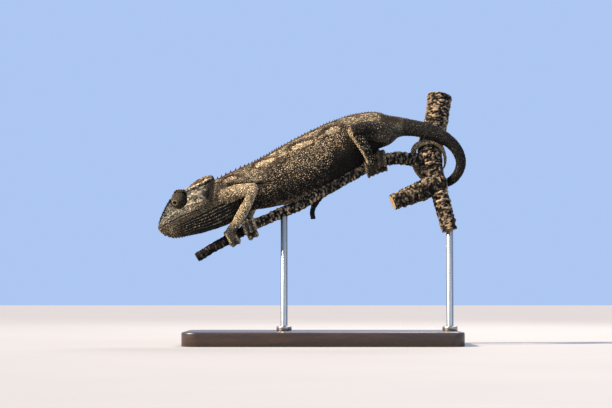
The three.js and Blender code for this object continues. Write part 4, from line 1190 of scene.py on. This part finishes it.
for line, start, end, spacing, length, lift, ownMarks in headRows:
    rings = np.linspace(start, end, 120)
    breadth, high = (lineAt[line][axis](rings) * noseShare(rings) for axis in ("y", "t"))
    for way in ((-1, 1) if line != "crown" else (1,)):
        path = headPlace(rings, way * breadth, high + lift)
        lines.append((steppedAlong(path, spacing), eye["radius"] + 0.5, length, ownMarks))
for way in (-1, 1):
    points = aboutGaze(way, [(eye["radius"] + socketRim["out"], socketRim["along"])], 360)[0]
    off = points - eyeAim(way)[0]
    turn = np.arctan2(off @ headUp, off @ headAlong)
    arc = np.radians(np.linspace(socketRim["from"], socketRim["to"], socketRim["count"]))
    rim = points[[np.abs(turn - a).argmin() for a in arc]]
    lines.append((rim, 0, socketRim["length"], socketRim["marks"]))
gathered = []
for points, least, length, ownMarks in lines:
    points, facing, there, roots = onHide(points)
    there.update({key: np.full(len(points), float(value)) for key, value in ownMarks.items()})
    clear = np.min([lengthOf(fromGaze(points, w)[1]) + 99 * ((points[:, 1] * w) < 0)
                    for w in (-1, 1)], axis=0) > least
    growth = np.full(len(points), length / rowScale[1])
    gathered.append([v[clear] for v in (points, facing, growth, roots, *(there[key] for key in marks))])
points, facing, growth, roots, *five = (np.concatenate(column) for column in zip(*gathered))
growRow("scales_ridges", rowTree, "crown", rowScale, points, facing, headAlong, growth,
        dict(zip(marks, five)), roots, Variation=0.18, Tilt=0.1, Seed=41)

crest = {"count": 68, "from": 0.9, "to": 11.6, "tall": 2.7, "short": 1.2, "back": 0.3, "sunk": 0.5,
         "halfLength": 1.2, "halfWidth": 0.75, "marks": {"dark": 0.9, "rust": 0.15}}
beard = {"count": 12, "from": 3, "to": 34, "tall": 2.0, "short": 0.8, "back": 0.3, "sunk": 0.4,
         "halfLength": 0.85, "halfWidth": 0.6, "marks": {"dark": 0.5, "rust": 0.45}}


def spikes(name, slot, look, feet, up, lie):  # a row of pointed scales that lean back a little
    heights = np.linspace(look["tall"], look["short"], look["count"])
    facing = up + look["back"] * lie
    growRow(name, spikeTree, slot, (look["halfWidth"], look["halfLength"], heights.max() + look["sunk"]),
            feet - unit(facing) * look["sunk"], facing, lie, heights / heights.max(), look["marks"],
            onHide(feet)[3], Variation=0.12, Seed=5)


us, rings = (np.linspace(look["from"], look["to"], look["count"]) for look in (crest, beard))
spine, ways = bodyPath(us)
ups = unit(np.cross(ways, across))
spikes("crest_back", "flank", crest, spine + ups * (bodyHigh(us) - skin["depth"])[:, None], ups, ways)
spikes("crest_chin", "throat", beard, headPlace(rings, 0, lineAt["throat"]["t"](rings) + skin["depth"]),
       -headUp, headAlong)

eyeLook = {
    "pupil": 0.86,  # of the opening's radius
    "iris": "#2a1d12", "black": "#070605",
    "granule": 0.52, "granuleHeight": 0.2,  # the lid's own scales, mm
    "ball": 1.75, "sunk": 1.35,  # the bead of the eye: radius, and how far it lies under the turret's radius
    "columns": {"lid": 56, "ball": 40},
}
# Cornea over a dark eye: wet and clear, so it shows one hard highlight.
eyeMaterial, add, place = newMaterial("wet_cornea", Roughness=0.06, IOR=1.38, Specular_IOR_Level=0.2)
wander = add("TexNoise", {"Vector": place, "Scale": scaleOf(0.3), "Detail": 2})
fromAxis = add("Math", (wander, 0.12, "fromAxis"), operation="MULTIPLY_ADD")
finished(eyeMaterial, add, painted(
    add, eyeLook["black"], (fromAxis, eyeLook["pupil"], eyeLook["pupil"] + 0.12, 1, eyeLook["iris"]),
    (fromAxis, 0.86, 1, 1, eyeLook["black"])))
lid, mouth = eye["radius"] - 0.2, eye["opening"]
tip = eye["radius"] + eye["rim"]
profile = [(lid * math.cos(math.radians(a)), lid * math.sin(math.radians(a))) for a in range(-46, 51, 4)]
profile += [(3.5, lid * 0.89), (2.9, lid * 0.955), (2.4, tip - 0.17), (2.05, tip), (1.8, tip + 0.04)]
outline = steppedAlong(np.array(profile[:-1]), eyeLook["granule"])
profile += [(mouth + 0.05, tip - 0.06), (mouth, tip - 0.25), (mouth, tip - 0.8), (0.6, tip - 1.05)]
bead = [(math.sin(a) * eyeLook["ball"], eye["radius"] - eyeLook["sunk"] + math.cos(a) * eyeLook["ball"])
        for a in np.radians(np.linspace(64, 1, 14))]

for way, name in ((-1, "left"), (1, "right")):
    centre, gaze = eyeAim(way)
    points, faces = closedGrid(aboutGaze(way, profile, eyeLook["columns"]["lid"]))
    turret = makeMesh("lid_" + name, points, faces, skinMaterial)
    reach, flat = fromGaze(points, way)
    radial = lengthOf(flat)
    paleRing = hump(radial - 1.95, 0.45) * (reach > 4)
    shade = 0.3 + 0.5 * smooth(-reach, -2.5, 2) + (radial < 1.6) * (reach > 0) * 0.8
    attach(turret, "POINT", **allMarks(len(points), {
        "dark": np.clip(shade, 0, 1), "cool": 0.3 + 0.4 * paleRing, "pale": 0.55 * paleRing}))
    enter(turret, "lid", "eye_" + name)

    granules, facing, growth = [], [], []
    for n, (radius, along) in enumerate(outline):
        count = max(int(2 * math.pi * radius / eyeLook["granule"]), 6)
        turned = aboutGaze(way, [(radius, along)], 2 * count)[0][n % 2::2]
        granules.append(turned)
        facing.append(unit(turned - centre + under(radius, 2, 3.4) * 3 * gaze))
        growth.append(np.full(count, 0.78 + 0.22 * smooth(radius, 2, 5)))
    granules, facing, growth = np.vstack(granules), np.vstack(facing), np.concatenate(growth)
    reach, flat = fromGaze(granules, way)
    radial = lengthOf(flat)
    paleRing = hump(radial - 2.1, 0.5) * (reach > 4)
    off = granules - centre
    streaks = 0.5 + 0.5 * np.sin(7 * np.arctan2(off @ headUp, off @ headAlong))
    lowBehind = smooth(off @ (headAlong - headUp) / eye["radius"], -0.4, 0.9)
    shade = 0.2 + 0.4 * lowBehind + 0.4 * smooth(-reach, -2.5, 1) + 0.16 * streaks * (radial > 3.2)
    growRow("scales_lid_" + name, rowTree, "lid",
            (0.55 * eyeLook["granule"], 0.58 * eyeLook["granule"], eyeLook["granuleHeight"]),
            granules, facing, gaze, growth,
            {"dark": np.clip(shade, 0, 1) * (1 - paleRing), "cool": 0.14 + 0.4 * paleRing,
             "pale": 0.14 + 0.5 * paleRing},
            0.5 + np.column_stack([radial * np.cos(growth), reach]) / 60,
            Variation=0.2, Tilt=0.0, Seed=51 + way)

    points, faces = closedGrid(aboutGaze(way, bead, eyeLook["columns"]["ball"]))
    ball = makeMesh("eyeball_" + name, points, faces, eyeMaterial)
    attach(ball, "POINT", fromAxis=lengthOf(fromGaze(points, way)[1]) / eye["opening"])
    enter(ball, "eyeball", "pupil_" + name)
print("eyes made")

claws = {"long": 3.6, "buried": 1.4, "radius": [[0, 0.95], [3, 0.684], [5, 0.342], [6, 0.1]], "flat": 0.8,
         "rows": 14, "columns": 12, "horn": "#5a4630", "tipHorn": "#1d1611"}
# Keratin horn, smooth and a little translucent: brown at its root, nearly black at its point.
clawMaterial, add, place = newMaterial("claw_horn")
streak = add("TexNoise", {"Vector": place, "Scale": scaleOf(0.8), "Detail": 3})
toTip = add("Math", (streak, 0.4, "toTip"), operation="MULTIPLY_ADD")
finished(clawMaterial, add, painted(add, claws["horn"], (toTip, 0.4, 1.1, 1, claws["tipHorn"])),
         add("MapRange", (streak, 0, 1, 0.25, 0.45)), (streak, 0.3, 0.1))
clawThick = through(claws["radius"])
for limb in limbs.values():
    foot = limb["foot"]
    horns, toTips = [], []
    for toe in toesOf(foot):
        start, end = toes["arc"][toe["bundle"]]
        turned = math.radians(end - start) * (branchAt(foot["x"])[2] + toe["radius"] + foot["hang"])
        path = [alongToe(toe, 1 + (toe["radius"] * 0.9 - claws["buried"]
                                   + share * (claws["long"] + claws["buried"])) / turned, 0.5 - 2.3 * share)
                for share in np.linspace(0, 1, 7)]
        grid, _ = tubeRings(curveThrough(path), np.linspace(0, 6, claws["rows"]), clawThick,
                            lambda v: claws["flat"] * clawThick(v), claws["columns"])
        horns.append(closedGrid(grid))
        toTips.append(np.append(np.repeat(np.linspace(0, 1, len(grid)), claws["columns"]), (0, 1)))
    piece = makeMesh("claws_" + foot["name"], *pileUp(horns), clawMaterial)
    attach(piece, "POINT", toTip=np.concatenate(toTips))
    enter(piece, "claw", *("claw_" + toe["name"] for toe in toesOf(foot)))
print("claws made")

bark = {
    "voxel": 0.55, "columns": 40, "wart": 0.4, "fissure": 0.5, "knob": 0.8, "scar": 0.5, "scarEvery": 7,
    # the near black of the cracks is painted shade; the pale pair is the stem's own paler bark and painted
    # sunlight on the branch's upper faces; the tan on raised parts is partly wear and partly a painted
    # highlight
    "rib": 0.26, "ribEvery": 3.3, "ridge": ("#4c473d", "#605745"), "crack": "#0c0a09",
    "paleAndSunlit": ("#94826a", "#6e6251"), "wornAndLit": "#a38766", "lichen": "#8e8b7a",
    "wood": ("#a38a66", "#7a6245"), "pith": "#4f3826", "ringApart": 0.9,
    "stretch": 2.6,  # how much longer the bark's grain is along the twig than round it
    "apart": 90,  # mm between the four members along the bark's own length
}
perchShapes, perchAxes = [], []
for name, cuts in perch["cutRows"].items():
    path, radius = tubeOf(perch[name])
    us = np.linspace(0, len(perch[name]) - 1, len(perch[name]) * 8)
    ends = tuple(not cut for cut in cuts)
    perchShapes.append(closedGrid(tubeRings(path, us, radius, radius, bark["columns"], ends=ends)[0]))
    perchAxes.append((*path(us), radius(us), cuts))
barkPlaces, barkQuads = remeshed("bark", *pileUp(perchShapes), bark["voxel"])
barkNormals, barkX = normalsOf(barkPlaces, barkQuads), barkPlaces[:, 0]
best, found = np.full(len(barkPlaces), 1e9), np.zeros((6, len(barkPlaces)))
for n, (line, ways, radii, cuts) in enumerate(perchAxes):  # which of the four each place is on, and where
    tree = KDTree(len(line))
    for i, place in enumerate(line):
        tree.insert(place, i)
    tree.balance()
    i = np.array([tree.find(p)[1] for p in barkPlaces.tolist()])
    offset = barkPlaces - line[i]
    ahead = np.einsum("ij,ij->i", offset, ways[i])
    flat = offset - ahead[:, None] * ways[i]
    distance = lengthOf(flat)
    side = unit(np.cross(ways[i], (0.1, 1, 0.05)))
    up = np.cross(side, ways[i])
    closer = distance - radii[i] < best
    best = np.where(closer, distance - radii[i], best)
    isEnd = (i == 0) & cuts[0] | (i == len(line) - 1) & cuts[1]
    isSawn = isEnd * (np.abs(np.einsum("ij,ij->i", barkNormals, ways[i])) > 0.6)
    values = (runAlong(line)[i] + ahead + bark["apart"] * n,
              np.arctan2((flat * up).sum(1), (flat * side).sum(1)),
              distance, radii[i], isSawn, np.full(len(i), n == 1))
    found = np.where(closer, values, found)
run, angle, fromPith, girth, wood, isStem = found
sawn = wood
for step in range(2):
    sawn = 0.5 * sawn + 0.5 * meanOfNeighbours(sawn, edgesOf(barkQuads))
barkPlace = np.stack([np.cos(angle) * girth, np.sin(angle) * girth, run], 1)  # runs on round every bend
warts = lumps(barkPlace * (1, 1, 1.5), 1.7, 61) + 0.6 * lumps(barkPlace * (1, 1, 1.3), 3.0, 62)
fissures = 1 - 2.8 * np.abs(lumps(barkPlace * (0.7, 0.7, 1.6), 2.4, 68))
knobs = np.clip(lumps(barkPlace / (1, 1, 0.8), 4.6, 63) * 1.8 - 0.7, 0, 1)
scars = hump(np.mod(run + 2.2 * lumps(barkPlace, 8, 64), bark["scarEvery"]) - bark["scarEvery"] / 2, 0.7)
scars = scars * smooth(lumps(barkPlace / (1, 1, 3), 5, 65), 0, 0.5)
ribs = np.cos(2 * np.pi * run / bark["ribEvery"] + 5 * lumps(barkPlace, 4.5, 69))
fine = (bark["wart"] * warts - bark["fissure"] * np.clip(fissures, 0, 1) + bark["scar"] * scars
        + bark["rib"] * ribs * np.clip(0.45 + 0.9 * lumps(barkPlace, 4, 70), 0, 1))
relief = fine + bark["knob"] * knobs + 0.3 * lumps(barkPlace / (1, 1, 2), 6, 66)
relief = relief * np.clip(girth / 5, 0.35, 1.25) * (1 - sawn)
relief = np.where(wood > 0, 0.05 * lumps(barkPlaces, 1.2, 67), relief)

# Weathered bark: rough and dry, tan on its raised parts (partly wear, partly a painted highlight), with
# painted sunlight on its upper faces and painted shade that makes its cracks near black.
barkMaterial, add, place = newMaterial("twig_bark_and_sawn_wood", Specular_IOR_Level=0.12)
grain = add("TexNoise", {"Vector": "barkPlace", "Scale": scaleOf(0.5), "Detail": 5, "Roughness": 0.65})
wide = add("TexNoise", {"Vector": "barkPlace", "Scale": scaleOf(7), "Detail": 3})
high = add("Math", (grain, 0.9, "relief"), operation="MULTIPLY_ADD")
dull, bright = (painted(add, first, (wide, 0.35, 0.65, 1, second))
                for first, second in (bark["ridge"], bark["paleAndSunlit"]))
colour = painted(add, dull, ("bleached", 0, 1, 1, bright), (high, 0.62, 1.05, 0.9, bark["wornAndLit"]))
wander = add("TexNoise", {"Vector": place, "Scale": scaleOf(3), "Detail": 2})
ringPlace = add("Math", (wander, 1.2 * mm, "fromPith"), operation="MULTIPLY_ADD")
ringWave = add("Math", (ringPlace, 2 * math.pi * scaleOf(bark["ringApart"])), operation="MULTIPLY")
ringWave = add("Math", (ringWave,), operation="SINE")
cut = painted(add, bark["wood"][0], (ringWave, -0.2, 1, 0.75, bark["wood"][1]),
              ("fromPith", 0.9 * mm, 0.6 * mm, 1, bark["pith"]))
lichen = add("TexNoise", {"Vector": place, "Scale": scaleOf(2.2), "Detail": 4})
colour = painted(add, bark["crack"], (high, 0.25, 0.8, 1, colour),
                 (lichen, 0.62, 0.7, 0.2, bark["lichen"]), ("sawn", 0.45, 0.6, 1, cut))
finished(barkMaterial, add, colour, add("MapRange", (grain, 0.3, 0.7, 0.78, 0.95)), (grain, 0.8, 0.35))

perchPiece = makeMesh("twig", barkPlaces + barkNormals * relief[:, None], barkQuads, barkMaterial)
frontEnd = (1 - isStem) * under(barkX, -62, -48)  # darker there, and on the small twig
isTwig = run > 3 * bark["apart"]
# painted sunlight on the branch's upward faces, stronger under the belly where the body shades the branch;
# the stem paler all over
sunny = (1 - isStem) * between(barkX, -56, -46, 0, 12) * ~isTwig
lit = (0.8 + 0.3 * sunny - 0.7 * frontEnd - 0.7 * isTwig) * smooth(barkNormals[:, 2] + 0.4 * sunny, 0.1, 0.8)
# more relief in the colour where the painted sunlight is, so ridges there take more of the painted highlight
rough = (fine + 0.3 * bark["knob"] * knobs) * (1 + 0.6 * sunny)
attach(perchPiece, "POINT", barkPlace=barkPlace * (mm, mm, mm / bark["stretch"]),
       relief=rough + 0.08 * sunny - 0.24 * frontEnd - 0.4 * isTwig, fromPith=fromPith * mm,
       sawn=sawn * (fromPith < girth - 0.9), bleached=0.1 + np.where(isStem > 0, 0.85, lit))
enter(perchPiece, "bark", "perch")
print("twig:", len(barkPlaces), "points")

board = {
    "long": 236, "deep": 112, "thick": 12, "corner": 14, "x": 9, "edge": 1.6, "steps": 7,
    "stain": ("#3a2619", "#1f140d"), "pore": "#0e0805", "grainWide": 5, "poreWide": 0.45,
}


def boardRing(inset, z):  # the board's outline, moved in by this much
    radius = board["corner"] - inset
    half = np.array((board["long"] / 2, board["deep"] / 2)) - inset - radius
    points = []
    for corner, (wayX, wayY) in enumerate(((1, -1), (1, 1), (-1, 1), (-1, -1))):
        for angle in np.radians(np.linspace(0, 90, board["steps"] * 2) + corner * 90 - 90):
            points.append((board["x"] + wayX * half[0] + radius * math.cos(angle),
                           wayY * half[1] + radius * math.sin(angle), z))
    return points


def rounded(out, top, edge, steps):  # a rounded upper edge: distance out and height
    return [(out - edge * (1 - math.cos(a)), top - edge * (1 - math.sin(a)))
            for a in np.radians(np.linspace(0, 90, steps))]


# Dark stained hardwood under thin satin varnish: warm brown, with open pores and a soft shine.
boardMaterial, add, place = newMaterial("stained_walnut_board", Coat_Weight=0.25, Coat_Roughness=0.3)
along = add("VectorMath", (place, (0.09, 1, 1)), operation="MULTIPLY")
pores = add("TexNoise", {"Vector": along, "Scale": scaleOf(board["poreWide"]), "Detail": 2})
figure = add("TexNoise", {"Vector": along, "Scale": scaleOf(board["grainWide"]), "Detail": 4,
                          "Distortion": 0.6})
colour = painted(add, board["stain"][0], (figure, 0.3, 0.7, 1, board["stain"][1]),
                 (pores, 0.43, 0.36, 0.8, board["pore"]))
finished(boardMaterial, add, colour, add("MapRange", (pores, 0.3, 0.7, 0.5, 0.36)), (pores, 0.25, 0.1))
profile = [(3, 0), (0.6, 0), (0, 0.6)]
profile += [(-out, high) for out, high in rounded(0, board["thick"], board["edge"], board["steps"])]
profile += [(2.4, board["thick"]), (9, board["thick"])]
boardPiece = makeMesh("board", *closedGrid([boardRing(*row) for row in profile]), boardMaterial)
enter(boardPiece, "board", "stand_base")

rods = {"radius": 3, "collar": 6.5, "collarHigh": 4, "edge": 1, "lift": 0.3, "columns": 64,
        "steel": "#a3a19c", "brushed": 0.25}
tops = {"front": (-24, 0, branchAt(-24)[0][2]), "rear": np.add(perch["stem"][0][:3], (0, 0, 4))}
# Satin steel: turned and brushed, so its shine is soft and drawn out round the rod.
steelMaterial, add, place = newMaterial("satin_steel", Metallic=1)
level = add("VectorMath", (place, (0.06, 0.06, 1)), operation="MULTIPLY")
brush = add("TexNoise", {"Vector": level, "Scale": scaleOf(rods["brushed"]), "Detail": 3})
smear = add("TexNoise", {"Vector": place, "Scale": scaleOf(12), "Detail": 3})
rough = add("MapRange", (brush, 0.3, 0.7, 0.24, 0.34))
rough = add("Math", (smear, 0.12, rough), operation="MULTIPLY_ADD")
streaks = add("MapRange", (brush, 0, 1, 0.93, 1.05))
colour = add("VectorMath", {0: rods["steel"], "Scale": streaks}, operation="SCALE")
finished(steelMaterial, add, colour, rough, (brush, 0.12, 0.02))
foot, radius, collar = board["thick"] + rods["lift"], rods["radius"], rods["collar"]
shoulder = foot + rods["collarHigh"]
turns = np.arange(rods["columns"]) / rods["columns"] * 2 * np.pi
for name, (x, y, top) in tops.items():
    profile = [(collar - 0.4, foot), (collar, foot + 0.3), *rounded(collar, shoulder, rods["edge"], 6),
               (radius + 0.5, shoulder), (radius + 0.15, shoulder + 0.12), (radius, shoulder + 0.5),
               (radius, top - 0.5), (radius - 0.5, top)]
    rings = [[(x + r * math.cos(a), y + r * math.sin(a), z) for a in turns] for r, z in profile]
    enter(makeMesh("rod_" + name, *closedGrid(rings), steelMaterial), "steel", "stand_rod_" + name)
print("stand made")

studio = {
    "distance": 1498, "aim": (-5.2, 0, 121), "cameraHeight": 42.5, "lens": 102.6,
    "floor": ("#8e9092", "#87898c"), "tooth": 0.6, "drift": 180, "floorWide": 6000,
    "lamps": {  # place, width and power in watts
        "fill": ((700, -900, 420), 900, 3, "#e8f0ff"), "rim": ((300, 800, 900), 500, 10, "#fff6ea"),
    },
    "key": {"from": (-860, -330, 730), "power": 12.5, "softness": 7, "tint": "#ffe6c8"},  # softness: degrees
    "target": (-5, 0, 130), "air": "#b4cffc", "airStrength": 0.92,
}


def aimed(thing, place, target):
    thing.location = np.array(place) * mm
    thing.rotation_euler = (Vector(target) * mm - thing.location).to_track_quat("-Z", "Y").to_euler()


camera = addObject("camera", bpy.data.cameras.new("camera"))
aimed(camera, (studio["aim"][0], -studio["distance"], studio["cameraHeight"]), studio["aim"])
camera.data.lens = studio["lens"]
camera.data.sensor_width = 36
camera.data.clip_start, camera.data.clip_end = 0.05, 30
bpy.context.scene.camera = camera

# Matt painted studio board: pale, even, with a faint paper tooth.
floorMaterial, add, place = newMaterial("matt_backdrop")
tooth = add("TexNoise", {"Vector": place, "Scale": scaleOf(studio["tooth"]), "Detail": 3})
broad = add("TexNoise", {"Vector": place, "Scale": scaleOf(studio["drift"]), "Detail": 2})
colour = painted(add, studio["floor"][0], (broad, 0, 1, 1, studio["floor"][1]))
finished(floorMaterial, add, colour, add("MapRange", (tooth, 0, 1, 0.8, 0.95)), (tooth, 0.1, 0.1))
corners = np.array([(-1, -1, 0), (1, -1, 0), (1, 1, 0), (-1, 1, 0)]) * studio["floorWide"]
makeMesh("floor", corners, [(0, 1, 2, 3)], floorMaterial, False)

for name, (place, width, power, tint) in studio["lamps"].items():
    lamp = addObject(name, bpy.data.lights.new(name, "AREA"))
    aimed(lamp, place, studio["target"])
    lamp.data.shape = "DISK"
    lamp.data.size = width * mm
    lamp.data.energy = power
    lamp.data.color = linear(tint)[:3]
key = addObject("key", bpy.data.lights.new("key", "SUN"))  # even light, near the model and far
key.data.energy = studio["key"]["power"]
key.data.angle = math.radians(studio["key"]["softness"])
key.data.color = linear(studio["key"]["tint"])[:3]
key.rotation_euler = Vector(studio["key"]["from"]).to_track_quat("Z", "Y").to_euler()
world = bpy.data.worlds.new("room")
bpy.context.scene.world = world
world.use_nodes = True
world.node_tree.nodes["Background"].inputs["Color"].default_value = linear(studio["air"])
world.node_tree.nodes["Background"].inputs["Strength"].default_value = studio["airStrength"]
bpy.context.scene.view_settings.view_transform = "Standard"
